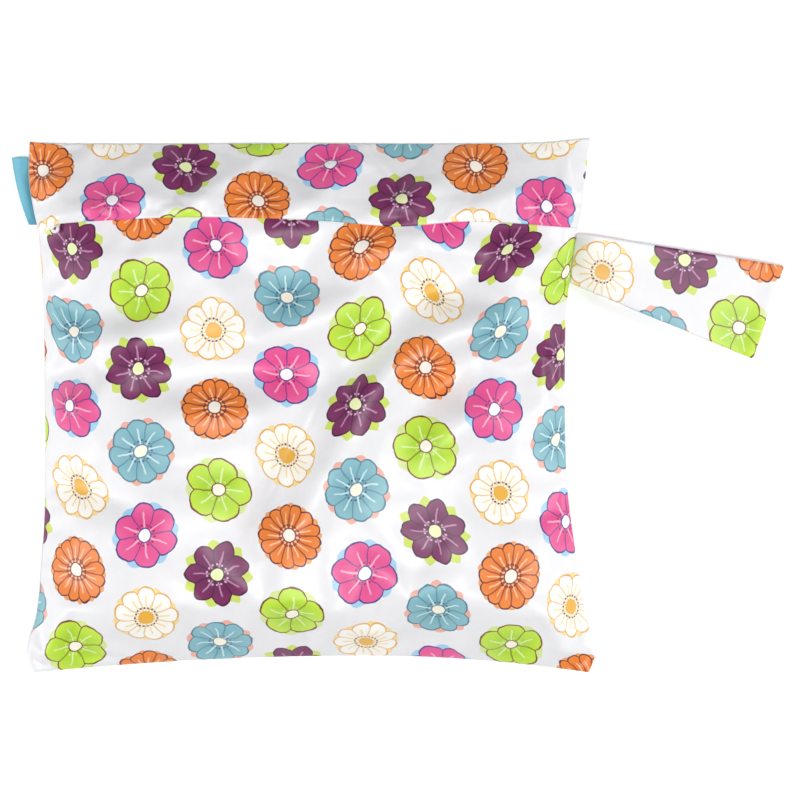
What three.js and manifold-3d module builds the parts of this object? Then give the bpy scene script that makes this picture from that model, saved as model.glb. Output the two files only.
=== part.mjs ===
// A zipped waterproof cloth bag lying on its back, half full of air: two sewn panels that swell like a pillow,
// a band across the top that laps over the zip, a folded hand strap in the right seam and a folded tab in the left.
// Millimetres, +Z up. The bag is drawn about its own middle, and the group is then moved so that the origin is
// under the middle of its bounding box, on the surface that the bag lies on.
import * as THREE from 'three';
import { mergeVertices } from 'three/addons/utils/BufferGeometryUtils.js';
import Module from 'manifold-3d';

const wasm = await Module();
wasm.setup();

const { clamp, degToRad, lerp } = THREE.MathUtils;

// Driving dimensions
const CLOTH = 1.0; // wall of the laminated cloth
const GAP = 0.3; // clearance between layers that are sewn together
const BOTTOM_Y = -149; // bottom corners of the bag
const TOP_Y = 147; // top corners of the bag
const BOTTOM_ARCH = 9.5; // how far the bottom seam is drawn up between its corners
const ARCH_MIDDLE = 0.6; // where along the bottom seam it is highest
const EDGE_LIFT = 2.0; // height of the back panel's underside along the seams
const SEAM_Z = EDGE_LIFT + CLOTH + GAP; // height of the front cloth's inner face along the seams
const SIDE_POWER = 6; // how square the swell is across the bag
const BOTTOM_SHOULDER = 50; // depth over which the swell comes down to the bottom seam
const BOTTOM_POWER = 2;
const TOP_SHOULDER = 55; // depth over which it comes down to the top edge
const TOP_POWER = 1.6;
const FOLD_FADE = 9; // folds fade out where the swell is lower than this

// The bag's cross-sections from bottom to top: the seams' x, and the swell's height over the seams.
const SECTIONS = [
  { y: BOTTOM_Y, left: -152.5, right: 157.6, swell: 33.0 },
  { y: -138, left: -156.4, right: 161.0, swell: 33.5 },
  { y: -118, left: -151.3, right: 155.8, swell: 33.5 },
  { y: -88, left: -148.0, right: 150.8, swell: 32.5 },
  { y: -40, left: -146.0, right: 145.0, swell: 29.5 },
  { y: 45, left: -146.8, right: 144.4, swell: 26.0 },
  { y: 75, left: -148.2, right: 147.6, swell: 25.0 },
  { y: 97, left: -149.6, right: 150.8, swell: 24.3 },
  { y: 108, left: -152.0, right: 153.4, swell: 24.0 },
  { y: 126, left: -154.8, right: 155.4, swell: 24.0 },
  { y: TOP_Y, left: -154.6, right: 158.0, swell: 24.0 },
];

// The top edge, from the left corner (0) to the right corner (1), where the seam stands up a little.
const TOP_EDGE = [
  { s: 0, y: 147.2 },
  { s: 0.04, y: 146.1 },
  { s: 0.5, y: 146.2 },
  { s: 0.9, y: 146.4 },
  { s: 1, y: 149.2 },
];

// Long soft folds: the middle, the direction from +X, half length, half width and height (below zero, a valley).
const FOLDS = [
  { x: 36, y: 99, turn: 14, length: 34, width: 11, height: -1.8 },
  { x: 40, y: 86, turn: 14, length: 38, width: 12, height: 2.4 },
  { x: 83, y: 67, turn: 22, length: 30, width: 13, height: -5.8 },
  { x: 95, y: 43, turn: 22, length: 34, width: 16, height: 7.6 },
  { x: -4, y: 69, turn: 20, length: 28, width: 13, height: -3.8 },
  { x: 2, y: 48, turn: 20, length: 30, width: 15, height: 4.4 },
  { x: -106, y: 55, turn: 10, length: 32, width: 13, height: -3.8 },
  { x: -100, y: 34, turn: 10, length: 32, width: 15, height: 4.7 },
  { x: -141, y: 18, turn: 30, length: 18, width: 12, height: -4 },
  { x: -135, y: 0, turn: 30, length: 20, width: 13, height: 4.4 },
  { x: -48, y: 20, turn: 4, length: 48, width: 13, height: -4.4 },
  { x: -42, y: -5, turn: 4, length: 52, width: 17, height: 5.2 },
  { x: 26, y: 24, turn: 40, length: 24, width: 12, height: -4 },
  { x: 36, y: 6, turn: 40, length: 24, width: 14, height: 4.2 },
  { x: 67, y: 11, turn: 46, length: 24, width: 12, height: -4 },
  { x: 81, y: -7, turn: 46, length: 26, width: 14, height: 4.8 },
  { x: -2, y: -14, turn: 48, length: 28, width: 13, height: -5 },
  { x: 14, y: -36, turn: 48, length: 30, width: 16, height: 5.8 },
  { x: -18, y: -50, turn: 50, length: 20, width: 12, height: -3.4 },
  { x: -4, y: -66, turn: 50, length: 22, width: 14, height: 3.5 },
  { x: 116, y: 96, turn: 18, length: 24, width: 12, height: -2 },
  { x: 120, y: 79, turn: 24, length: 26, width: 13, height: 2.8 },
  { x: 62, y: -112, turn: -3, length: 60, width: 14, height: 3.4 },
  { x: -94, y: -113, turn: 10, length: 26, width: 12, height: 2.3 },
  { x: -60, y: -58, turn: 14, length: 60, width: 20, height: 2.2 },
];

// Buckles where a side seam draws the cloth in: which side, the height, half width, reach and share of the swell lost.
const BUCKLES = [
  { side: 1, y: -56, width: 17, reach: 18, loss: 0.14 },
  { side: 1, y: 22, width: 15, reach: 16, loss: 0.22 },
  { side: 1, y: -108, width: 13, reach: 18, loss: 0.2 },
  { side: -1, y: -100, width: 17, reach: 22, loss: 0.22 },
  { side: -1, y: -48, width: 14, reach: 15, loss: 0.2 },
  { side: -1, y: 30, width: 15, reach: 16, loss: 0.2 },
];

// Zip and lap
const FRONT_TOP_Y = 112; // top edge of the front panel, under the lap
const CHAIN_Y = 119; // middle of the zip
const CHAIN_WIDTH = 5.6;
const CHAIN_DEPTH = 2.2;
const TAPE_WIDTH = 10;
const TAPE_THICK = 0.8;
const TAPE_DROP = 2 * GAP + TAPE_THICK / 2; // middle of the tape below the front cloth's inner face
const HEM_DEPTH = 13; // the lap's edge is turned back under itself this far
const HEM_THICK = 1.9; // cloth and its turned edge together
const ZIP_END = 0.02; // share of the width that the zip stops short of each seam

// The lap's lower edge, which waves a little.
const LAP_EDGE = [
  { x: -152, y: 99.8 },
  { x: -139, y: 101.2 },
  { x: -118, y: 103.6 },
  { x: -60, y: 105.4 },
  { x: 8, y: 103.4 },
  { x: 52, y: 100.2 },
  { x: 92, y: 103.0 },
  { x: 152, y: 100.2 },
];

// How far the lap stands off the front cloth's inner face, from its edge up to the top tape.
const LAP_RISE = [
  { y: 96, rise: 2.1 },
  { y: 112, rise: 1.9 },
  { y: 122, rise: 1.0 },
  { y: 129, rise: 0.15 },
  { y: 150, rise: 0.0 },
];

// Folds pressed into the lap, as in FOLDS.
const LAP_FOLDS = [
  { x: -112, y: 110, turn: 12, length: 36, width: 9, height: 2.4 },
  { x: -52, y: 121, turn: 30, length: 28, width: 9, height: 2.5 },
  { x: 4, y: 115, turn: 26, length: 30, width: 9, height: 2.4 },
  { x: 58, y: 116, turn: 24, length: 30, width: 9, height: 2.6 },
  { x: 104, y: 115, turn: 16, length: 26, width: 9, height: 2 },
  { x: -84, y: 134, turn: 14, length: 26, width: 8, height: 1.2 },
  { x: 24, y: 135, turn: 10, length: 30, width: 8, height: 1 },
];

// Slider and pull, at the closed end of the zip
const SLIDER = { x: -139, length: 10, width: 8.6, tail: 6.4, plate: 1.0, slot: 1.9, post: 2.2 };
const BAIL = { width: 1.6, leg: 1.1, span: 4.4, bridge: 0.9 };
const PULL = { length: 24.5, width: 6.2, tip: 4.8, thick: 1.3, eyeBar: 1.3, eye: 3.2, eyeWidth: 2.7, hole: 0.95 };
const LUMP = { height: 4.5, across: 15, below: 25, above: 9 }; // the lap is pushed up over the slider

// Hand strap: a strip folded in half, gathered where both its ends go into the right seam
const STRAP = { rootLow: 68.8, rootHigh: 96.2, length: 113, thick: 1.1 };
const STRAP_END = { low: { x: 249, y: 26.6 }, high: { x: 265.9, y: 77.6 } };
const PLEATS = { count: 1.5, height: 1.3, reach: 70, sewn: 10 };

// The strip's line in side view, from its upper root round the fold and back to its lower root.
const STRAP_LINE = [
  { along: 0, height: 3.85 },
  { along: 26, height: 5.6 },
  { along: 62, height: 8.4 },
  { along: 96, height: 10.2 },
  { along: 109, height: 8.8 },
  { along: 113, height: 5.2 },
  { along: 107, height: 1.5 },
  { along: 88, height: 0.72 },
  { along: 46, height: 0.72 },
  { along: 18, height: 1.4 },
  { along: 0, height: 2.45 },
];

// Side tab: a folded ribbon in the left seam
const TAB = { low: 101.4, high: 138.6, foldLow: -155.6, foldHigh: -165.2, thick: 1.2, rootZ: 3.2, foldZ: 1.4 };
const ROOT_GAP = 1.1; // the strap and tab stop this short of the seam line, clear of the swelling cloth

// Cells of each mesh
const CELLS_ACROSS = 36;
const CELLS_FRONT = 31;
const CELLS_BACK = 20;
const CELLS_BAND = 7;
const CELLS_ZIP = 2;
const CELLS_STRAP = { along: 40, across: 10 };
const CELLS_TAB = { out: 4, along: 6 };
const CURVE_SEGMENTS = 6;

// Materials
const cloth = (name, color) => new THREE.MeshStandardMaterial({ name, color, roughness: 0.5, metalness: 0 });
const PRINTED_CLOTH = cloth('printed_cloth', 0xf1f0f3);
const ZIP_TAPE = cloth('zip_tape', 0xe9e9ec);
const ZIP_NYLON = new THREE.MeshStandardMaterial({ name: 'zip_nylon', color: 0xf4f4f4, roughness: 0.35 });
const TAB_RIBBON = new THREE.MeshStandardMaterial({ name: 'tab_ribbon', color: 0x4fb4d0, roughness: 0.55 });

// Reads one column of a short table at a key, along a smooth curve through its rows.
function read(table, key, column, at) {
  const last = table.length - 1;
  let i = 0;
  while (i < last - 1 && at > table[i + 1][key]) i += 1;
  const slope = (row) => {
    const before = table[Math.max(row - 1, 0)];
    const after = table[Math.min(row + 1, last)];
    return (after[column] - before[column]) / (after[key] - before[key]);
  };
  const span = table[i + 1][key] - table[i][key];
  const f = clamp((at - table[i][key]) / span, 0, 1);
  const rest = 1 - f;
  return (
    table[i][column] * (1 + 2 * f) * rest * rest +
    slope(i) * span * f * rest * rest +
    table[i + 1][column] * f * f * (1 + 2 * rest) -
    slope(i + 1) * span * f * f * rest
  );
}

// Plan of the bag: s runs from the left seam (0) to the right (1), t from the bottom seam (0) to the top edge (1).
function plan(s, t) {
  const edgeY = lerp(BOTTOM_Y, TOP_Y, t);
  const left = read(SECTIONS, 'y', 'left', edgeY);
  const right = read(SECTIONS, 'y', 'right', edgeY);
  const fromMiddle = (s - ARCH_MIDDLE) / (s < ARCH_MIDDLE ? ARCH_MIDDLE : 1 - ARCH_MIDDLE);
  const bottom = BOTTOM_Y + BOTTOM_ARCH * (1 - fromMiddle * fromMiddle);
  const top = read(TOP_EDGE, 's', 'y', s);
  return { x: lerp(left, right, s), y: lerp(bottom, top, t), bottom, top, left, right };
}

// The t at which the line of one s reaches a height y.
const tAt = (s, y) => {
  const { bottom, top } = plan(s, 0);
  return (y - bottom) / (top - bottom);
};

// Height that a table of folds adds at a point: each is a ridge that fades along and across its line.
function foldHeight(folds, x, y) {
  return folds.reduce((sum, fold) => {
    const [cos, sin] = [Math.cos(degToRad(fold.turn)), Math.sin(degToRad(fold.turn))];
    const along = ((x - fold.x) * cos + (y - fold.y) * sin) / fold.length;
    const across = ((y - fold.y) * cos - (x - fold.x) * sin) / fold.width;
    return sum + fold.height * Math.exp(-along * along - across * across);
  }, 0);
}

// Share of the swell that is left beside the buckles of the side seams.
function buckled(x, y, left, right) {
  return BUCKLES.reduce((share, buckle) => {
    const inward = (buckle.side > 0 ? right - x : x - left) / buckle.reach;
    const along = (y - buckle.y) / buckle.width;
    return share * (1 - buckle.loss * inward * Math.exp(1 - inward) * Math.exp(-along * along));
  }, 1);
}

// Height of the front cloth's inner face: a swell that comes down to the seams on every side, with its folds.
function innerZ(s, t) {
  const { x, y, bottom, top, left, right } = plan(s, t);
  const side = 1 - Math.abs(2 * s - 1) ** SIDE_POWER;
  const low = 1 - clamp(1 - (y - bottom) / BOTTOM_SHOULDER, 0, 1) ** BOTTOM_POWER;
  const high = 1 - clamp(1 - (top - y) / TOP_SHOULDER, 0, 1) ** TOP_POWER;
  const swell = read(SECTIONS, 'y', 'swell', y) * side * low * high * buckled(x, y, left, right);
  return SEAM_Z + swell + foldHeight(FOLDS, x, y) * Math.min(1, swell / FOLD_FADE) * (swell > 0 ? 1 : 0);
}

// A closed sheet of cloth: a box of many cells, whose unit coordinates u, v and w (through the wall) are each
// carried to a place in the bag.
function sheet(cellsU, cellsV, place) {
  const box = new THREE.BoxGeometry(1, 1, 1, cellsU, cellsV, 1);
  box.deleteAttribute('normal');
  box.deleteAttribute('uv');
  const geometry = mergeVertices(box);
  const { position } = geometry.attributes;
  for (let i = 0; i < position.count; i += 1) {
    const { x, y, z } = place(position.getX(i) + 0.5, position.getY(i) + 0.5, position.getZ(i) + 0.5);
    position.setXYZ(i, x, y, z);
  }
  geometry.computeVertexNormals();
  return geometry;
}

// Spacing that is finer towards both ends, or towards the start.
const fineEnds = (u) => (1 - Math.cos(Math.PI * u)) / 2;
const fineStart = (v) => 1 - Math.cos((Math.PI / 2) * v);

// Moves a point of a surface off it by a distance, square to the surface. surface(u, v) gives a Vector3.
function offSurface(surface, u, v, distance) {
  const step = 0.002;
  const along = surface(Math.min(u + step, 1), v).sub(surface(Math.max(u - step, 0), v));
  const across = surface(u, Math.min(v + step, 1)).sub(surface(u, Math.max(v - step, 0)));
  return surface(u, v).addScaledVector(along.cross(across).normalize(), distance);
}

// Front panel: from the bottom seam up to the zip, swelling upwards.
function frontPanel() {
  const surface = (u, v) => {
    const s = fineEnds(u);
    const t = fineStart(v) * tAt(s, FRONT_TOP_Y);
    const { x, y } = plan(s, t);
    return new THREE.Vector3(x, y, innerZ(s, t));
  };
  return sheet(CELLS_ACROSS, CELLS_FRONT, (u, v, w) => offSurface(surface, u, v, w * CLOTH));
}

// Back panel: flat where the bag lies on it, and lifted a little along its seams.
function backPanel() {
  const ramp = (closeness) => clamp(closeness, 0, 1) ** 2;
  return sheet(CELLS_BACK, CELLS_BACK, (u, v, w) => {
    const [s, t] = [fineEnds(u), fineEnds(v)];
    const { x, y, bottom, top } = plan(s, t);
    const side = ramp((Math.abs(2 * s - 1) - 0.78) / 0.22);
    const low = ramp(1 - (y - bottom) / 32);
    const high = ramp(1 - (top - y) / 24);
    const lift = EDGE_LIFT * (1 - (1 - side) * (1 - low) * (1 - high));
    return { x, y, z: lift + w * CLOTH };
  });
}

// Height of the lap's inner face over the zip, with its folds and the lump that the slider makes.
function lapZ(s, t) {
  const { x, y } = plan(s, t);
  const sewn = clamp((1 - Math.abs(2 * s - 1)) / 0.06, 0, 1) * clamp((TOP_Y - y) / 14, 0, 1);
  const sideways = (x - SLIDER.x) / LUMP.across;
  const upwards = (y - CHAIN_Y) / (y < CHAIN_Y ? LUMP.below : LUMP.above);
  const lump = LUMP.height * Math.exp(-(sideways ** 2) - upwards ** 4);
  const folds = Math.max(0, foldHeight(LAP_FOLDS, x, y));
  return innerZ(s, t) + read(LAP_RISE, 'y', 'rise', y) + sewn * (lump + folds);
}

// Top band: from the top edge down over the zip, ending in a turned hem.
function topBand() {
  const surface = (u, v) => {
    const s = fineEnds(u);
    const lapY = read(LAP_EDGE, 'x', 'y', plan(s, tAt(s, CHAIN_Y)).x);
    const t = lerp(tAt(s, lapY), 1, Math.sin((Math.PI / 2) * v));
    const { x, y } = plan(s, t);
    return new THREE.Vector3(x, y, lapZ(s, t));
  };
  return sheet(CELLS_ACROSS, CELLS_BAND, (u, v, w) => {
    const { x, y } = surface(u, v);
    const hem = clamp((read(LAP_EDGE, 'x', 'y', x) + HEM_DEPTH - y) / 4, 0, 1);
    return offSurface(surface, u, v, w * lerp(CLOTH, HEM_THICK, hem));
  });
}

// A strip along the zip between two heights on the bag, from one depth under the front cloth to another.
function zipStrip(lowY, highY, lowZ, highZ, start, end) {
  return sheet(CELLS_ACROSS, CELLS_ZIP, (u, v, w) => {
    const s = lerp(start, end, fineEnds(u));
    const t = tAt(s, lerp(lowY, highY, v));
    const { x, y } = plan(s, t);
    return { x, y, z: innerZ(s, t) + lerp(lowZ, highZ, w) };
  });
}

const zipTape = (side) => {
  const inner = CHAIN_Y + (side * (CHAIN_WIDTH + 2 * GAP)) / 2;
  const outer = inner + side * TAPE_WIDTH;
  const half = TAPE_THICK / 2;
  const [low, high] = [Math.min(inner, outer), Math.max(inner, outer)];
  return zipStrip(low, high, -TAPE_DROP - half, -TAPE_DROP + half, ZIP_END, 1 - ZIP_END);
};

// Chain of the zip, closed from the slider to its far end.
function zipChain() {
  const { left, right } = plan(0, tAt(0, CHAIN_Y));
  const start = (SLIDER.x + SLIDER.length / 2 + 3 * GAP - left) / (right - left);
  const [low, high] = [CHAIN_Y - CHAIN_WIDTH / 2, CHAIN_Y + CHAIN_WIDTH / 2];
  return zipStrip(low, high, -TAPE_DROP - CHAIN_DEPTH / 2, -TAPE_DROP + CHAIN_DEPTH / 2, start, 1 - ZIP_END);
}

// A closed geometry as a solid, and a solid as a geometry.
function solidOf(geometry) {
  const bare = geometry.clone();
  bare.deleteAttribute('normal');
  bare.deleteAttribute('uv');
  const merged = mergeVertices(bare, 1e-4);
  const vertProperties = new Float32Array(merged.attributes.position.array);
  const triVerts = new Uint32Array(merged.index.array);
  return new wasm.Manifold(new wasm.Mesh({ numProp: 3, vertProperties, triVerts }));
}

function geometryOf(solid) {
  const { vertProperties, triVerts } = solid.getMesh();
  const geometry = new THREE.BufferGeometry();
  geometry.setAttribute('position', new THREE.BufferAttribute(vertProperties, 3));
  geometry.setIndex(new THREE.BufferAttribute(triVerts, 1));
  geometry.computeVertexNormals();
  return geometry;
}

const extrude = (shape, depth) =>
  new THREE.ExtrudeGeometry(shape, { depth, bevelEnabled: false, curveSegments: CURVE_SEGMENTS });

// One plate of the slider: wide at the mouth, narrower at the tail, with round corners.
function sliderPlate(lowZ) {
  const [half, mouth, tail] = [SLIDER.length / 2, SLIDER.width / 2, SLIDER.tail / 2];
  const corner = 1.2;
  const shape = new THREE.Shape();
  shape.moveTo(-half + corner, -tail);
  shape.lineTo(half - corner, -mouth);
  shape.quadraticCurveTo(half, -mouth, half, -mouth + corner);
  shape.lineTo(half, mouth - corner);
  shape.quadraticCurveTo(half, mouth, half - corner, mouth);
  shape.lineTo(-half + corner, tail);
  shape.quadraticCurveTo(-half, tail, -half, tail - corner);
  shape.lineTo(-half, -tail + corner);
  shape.quadraticCurveTo(-half, -tail, -half + corner, -tail);
  return extrude(shape, SLIDER.plate).translate(0, 0, lowZ);
}

const PLATE_TOP = SLIDER.slot / 2 + SLIDER.plate; // above the tape's middle
const PULL_Z = PLATE_TOP + GAP;
const BAIL_INNER = PULL.thick + 2 * GAP;

// Slider: two plates on a post, with the bail that the pull hangs on. The tapes run in the slots beside the post.
function zipSlider() {
  const post = new THREE.BoxGeometry(SLIDER.post, SLIDER.post, SLIDER.slot + SLIDER.plate);
  post.translate(-SLIDER.length / 4, 0, 0);
  const [legs, top] = [BAIL.span / 2, BAIL_INNER + BAIL.bridge];
  const arch = new THREE.Shape();
  arch.moveTo(-legs, -SLIDER.plate / 2);
  arch.lineTo(-legs, top - BAIL.leg);
  arch.quadraticCurveTo(-legs, top, -legs + BAIL.leg, top);
  arch.lineTo(legs - BAIL.leg, top);
  arch.quadraticCurveTo(legs, top, legs, top - BAIL.leg);
  arch.lineTo(legs, -SLIDER.plate / 2);
  arch.lineTo(legs - BAIL.leg, -SLIDER.plate / 2);
  arch.lineTo(legs - BAIL.leg, BAIL_INNER);
  arch.lineTo(-legs + BAIL.leg, BAIL_INNER);
  arch.lineTo(-legs + BAIL.leg, -SLIDER.plate / 2);
  // The arch is drawn across the zip, and is turned so that its drawing's up is +Z.
  const bail = extrude(arch, BAIL.width).translate(0, 0, -BAIL.width / 2);
  bail.rotateX(Math.PI / 2).rotateZ(Math.PI / 2).translate(0, 0, PLATE_TOP);
  return geometryOf(
    solidOf(sliderPlate(SLIDER.slot / 2))
      .add(solidOf(sliderPlate(-PLATE_TOP)))
      .add(solidOf(post))
      .add(solidOf(bail)),
  );
}

// Pull: a flat tab with an eye for the bail at one end and a small hole in its round tip.
function zipPull() {
  const [half, tip] = [PULL.width / 2, PULL.tip / 2];
  const eyeEnd = BAIL.span / 2 - BAIL.leg - GAP;
  const tipY = eyeEnd - PULL.length + tip;
  const tab = new THREE.Shape();
  tab.moveTo(-half, eyeEnd - 2);
  tab.lineTo(-tip, tipY);
  tab.absarc(0, tipY, tip, Math.PI, 2 * Math.PI, false);
  tab.lineTo(half, eyeEnd - 2);
  tab.quadraticCurveTo(half, eyeEnd, half - 2, eyeEnd);
  tab.lineTo(-half + 2, eyeEnd);
  tab.quadraticCurveTo(-half, eyeEnd, -half, eyeEnd - 2);
  const [eyeTop, eyeHalf] = [eyeEnd - PULL.eyeBar, PULL.eyeWidth / 2];
  const eye = new THREE.Path();
  eye.moveTo(-eyeHalf, eyeTop);
  eye.lineTo(eyeHalf, eyeTop);
  eye.lineTo(eyeHalf, eyeTop - PULL.eye);
  eye.lineTo(-eyeHalf, eyeTop - PULL.eye);
  const hole = new THREE.Path();
  hole.absarc(0, tipY + 0.2, PULL.hole, 0, 2 * Math.PI, true);
  tab.holes.push(eye, hole);
  return extrude(tab, PULL.thick).translate(0, 0, PULL_Z);
}

// Hand strap: a strip carried along its line, narrow and pleated at the root and wide at the fold.
function handStrap() {
  const line = new THREE.SplineCurve(STRAP_LINE.map(({ along, height }) => new THREE.Vector2(along, height)));
  const { low, high } = STRAP_END;
  return sheet(CELLS_STRAP.along, CELLS_STRAP.across, (u, v, w) => {
    const middle = line.getPoint(u);
    const tangent = line.getTangent(u);
    const out = (w - 0.5) * STRAP.thick;
    const along = middle.x - tangent.y * out;
    const share = along / STRAP.length;
    const fade = clamp(1 - along / PLEATS.reach, 0, 1) ** 2 * clamp(along / PLEATS.sewn, 0, 1);
    const pleat = PLEATS.height * fade * (0.5 - 0.5 * Math.cos(2 * Math.PI * PLEATS.count * v));
    const rootY = lerp(STRAP.rootLow, STRAP.rootHigh, v);
    const rootX = plan(1, tAt(1, rootY)).x + ROOT_GAP;
    return {
      x: lerp(rootX, lerp(low.x, high.x, v), share),
      y: lerp(rootY, lerp(low.y, high.y, v), share),
      z: middle.y + tangent.x * out + pleat,
    };
  });
}

// Side tab: folded ribbon from the left seam out to its fold, thinner along the fold.
function sideTab() {
  return sheet(CELLS_TAB.out, CELLS_TAB.along, (u, v, w) => {
    const y = lerp(TAB.low, TAB.high, v);
    const fold = lerp(TAB.foldLow, TAB.foldHigh, v);
    const root = plan(0, tAt(0, y)).x - ROOT_GAP;
    const out = 1 - u;
    const thick = TAB.thick * (1 - 0.5 * out ** 4);
    return { x: lerp(root, fold, out), y, z: lerp(TAB.rootZ, TAB.foldZ, out) + (w - 0.5) * thick };
  });
}

function piece(name, geometry, material) {
  const mesh = new THREE.Mesh(geometry, material);
  mesh.name = name;
  return mesh;
}

const bag = new THREE.Group();
bag.add(
  piece('back_panel', backPanel(), PRINTED_CLOTH),
  piece('front_panel', frontPanel(), PRINTED_CLOTH),
  piece('top_band', topBand(), PRINTED_CLOTH),
  piece('zip_tape_lower', zipTape(-1), ZIP_TAPE),
  piece('zip_tape_upper', zipTape(1), ZIP_TAPE),
  piece('zip_chain', zipChain(), ZIP_NYLON),
  piece('hand_strap', handStrap(), PRINTED_CLOTH),
  piece('side_tab', sideTab(), TAB_RIBBON),
);

// The slider and its pull lie on the slope of the cloth at the closed end of the zip.
const sliderGroup = new THREE.Group();
const sliderS = (x) => {
  const { left, right } = plan(0, tAt(0, CHAIN_Y));
  return (x - left) / (right - left);
};
const clothAt = (x, y) => innerZ(sliderS(x), tAt(sliderS(x), y));
const [slopeX, slopeY] = [
  (clothAt(SLIDER.x + 5, CHAIN_Y) - clothAt(SLIDER.x - 5, CHAIN_Y)) / 10,
  (clothAt(SLIDER.x, CHAIN_Y) - clothAt(SLIDER.x, CHAIN_Y - PULL.length)) / PULL.length,
];
sliderGroup.position.set(SLIDER.x, CHAIN_Y, clothAt(SLIDER.x, CHAIN_Y) - TAPE_DROP);
sliderGroup.rotation.set(Math.atan(slopeY), -Math.atan(slopeX), 0);
sliderGroup.add(piece('zip_slider', zipSlider(), ZIP_NYLON), piece('zip_pull', zipPull(), ZIP_NYLON));
bag.add(sliderGroup);

const middle = new THREE.Box3().setFromObject(bag, true).getCenter(new THREE.Vector3());
bag.position.set(-middle.x, -middle.y, 0);

export default bag;
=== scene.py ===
"""Dresses a zipped waterproof cloth bag that lies on its back.

The pieces are the printed front and back, the band that laps over the zip, the zip itself, the folded
hand strap and the ribbon in the side seam.
"""

import logging
import math
from dataclasses import dataclass
from enum import Enum
from typing import Sequence, TypeVar, Union

import bpy
import numpy as np
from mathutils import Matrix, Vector


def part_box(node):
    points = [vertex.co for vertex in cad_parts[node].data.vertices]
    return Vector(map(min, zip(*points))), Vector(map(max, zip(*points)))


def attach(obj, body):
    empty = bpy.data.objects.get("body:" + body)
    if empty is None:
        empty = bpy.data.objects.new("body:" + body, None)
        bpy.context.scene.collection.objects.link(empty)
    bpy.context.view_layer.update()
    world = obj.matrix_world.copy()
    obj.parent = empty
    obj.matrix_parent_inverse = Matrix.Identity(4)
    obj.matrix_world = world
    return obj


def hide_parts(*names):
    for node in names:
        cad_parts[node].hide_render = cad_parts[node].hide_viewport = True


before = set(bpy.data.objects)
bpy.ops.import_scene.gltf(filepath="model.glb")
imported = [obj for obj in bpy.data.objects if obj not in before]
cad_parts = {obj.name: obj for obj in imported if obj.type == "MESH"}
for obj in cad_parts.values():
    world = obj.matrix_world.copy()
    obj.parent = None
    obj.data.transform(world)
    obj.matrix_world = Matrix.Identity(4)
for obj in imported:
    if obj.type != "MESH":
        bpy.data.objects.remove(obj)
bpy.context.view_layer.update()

logging.basicConfig(level=logging.INFO, format="%(levelname)s %(message)s")
LOG = logging.getLogger("zip_bag")

MM = 0.001
TURN = 2 * math.pi
TINY = 1e-9
WHITE = (1.0, 1.0, 1.0, 1.0)
BODY = "root"

Array = np.ndarray
Pair = tuple[float, float]
Triple = tuple[float, float, float]
Piece = bpy.types.Object
Material = bpy.types.Material
Socket = bpy.types.NodeSocket
Number = Union[float, "Term"]
Colour = Union[Socket, Sequence[float]]
Row = TypeVar("Row")


class Side(Enum):
    """The two side seams of the bag."""

    LEFT = -1
    RIGHT = 1


class Slot(Enum):
    """The record's material slots of the new pieces."""

    CLOTH = "printed_cloth"
    NYLON = "zip_nylon"
    RIBBON = "tab_ribbon"


@dataclass(frozen=True)
class Section:
    """One cross-section of the bag, in millimetres: seam places and the swell's height over the seams."""

    y: float
    left: float
    right: float
    swell: float


@dataclass(frozen=True)
class EdgePoint:
    """A point of an edge that waves: how far along it and the height there."""

    at: float
    y: float


@dataclass(frozen=True)
class Fold:
    """A long soft fold in the cloth, in millimetres and degrees.

    Attributes:
        x, y: Its middle.
        turn: Its direction.
        length, width: Half its length and half its width.
        height: Its height, below zero for a valley.
        lean: Share of its width that its upper flank has, below one where it leans over.
    """

    x: float
    y: float
    turn: float
    length: float
    width: float
    height: float
    lean: float = 1.0


@dataclass(frozen=True)
class Buckle:
    """A place where a side seam draws the cloth in, in millimetres.

    Attributes:
        side: The seam.
        y: Where it is along the seam.
        width: Half its width along the seam.
        reach: Distance from the seam at which it takes most.
        loss: Share of the swell that is lost there.
    """

    side: Side
    y: float
    width: float
    reach: float
    loss: float


def table(kind: type[Row], *rows: Sequence[object]) -> tuple[Row, ...]:
    """Returns a short table: one object of a kind for each row of its values."""
    return tuple(kind(*row) for row in rows)


def unit(value: Array) -> Array:
    """Returns a value cut off at 0 and at 1."""
    return np.clip(value, 0, 1)


def lerp(a: Array, b: Array, f: Array) -> Array:
    """Returns the point a share f of the way from a to b."""
    return a + (b - a) * f


def read(rows: Sequence[object], key: str, column: str, at: Array) -> Array:
    """Reads a column of a short table along a smooth curve: a cubic through the rows whose slope at a row
    is that of the line between the rows beside it.

    Args:
        rows: The table, in rising order of its key.
        key: Name of the key column.
        column: Name of the column to read.
        at: Where to read it.

    Returns:
        The column's values at those places.
    """
    keys = np.array([getattr(row, key) for row in rows], float)
    values = np.array([getattr(row, column) for row in rows], float)
    last = len(rows) - 1
    number = np.arange(len(rows))
    before, after = np.maximum(number - 1, 0), np.minimum(number + 1, last)
    slope = (values[after] - values[before]) / (keys[after] - keys[before])
    i = np.clip(np.searchsorted(keys, at, side="left") - 1, 0, last - 1)
    span = keys[i + 1] - keys[i]
    f = unit((at - keys[i]) / span)
    rest = 1 - f
    start = values[i] * (1 + 2 * f) * rest**2 + slope[i] * span * f * rest**2
    return start + values[i + 1] * f**2 * (1 + 2 * rest) - slope[i + 1] * span * f**2 * rest


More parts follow.
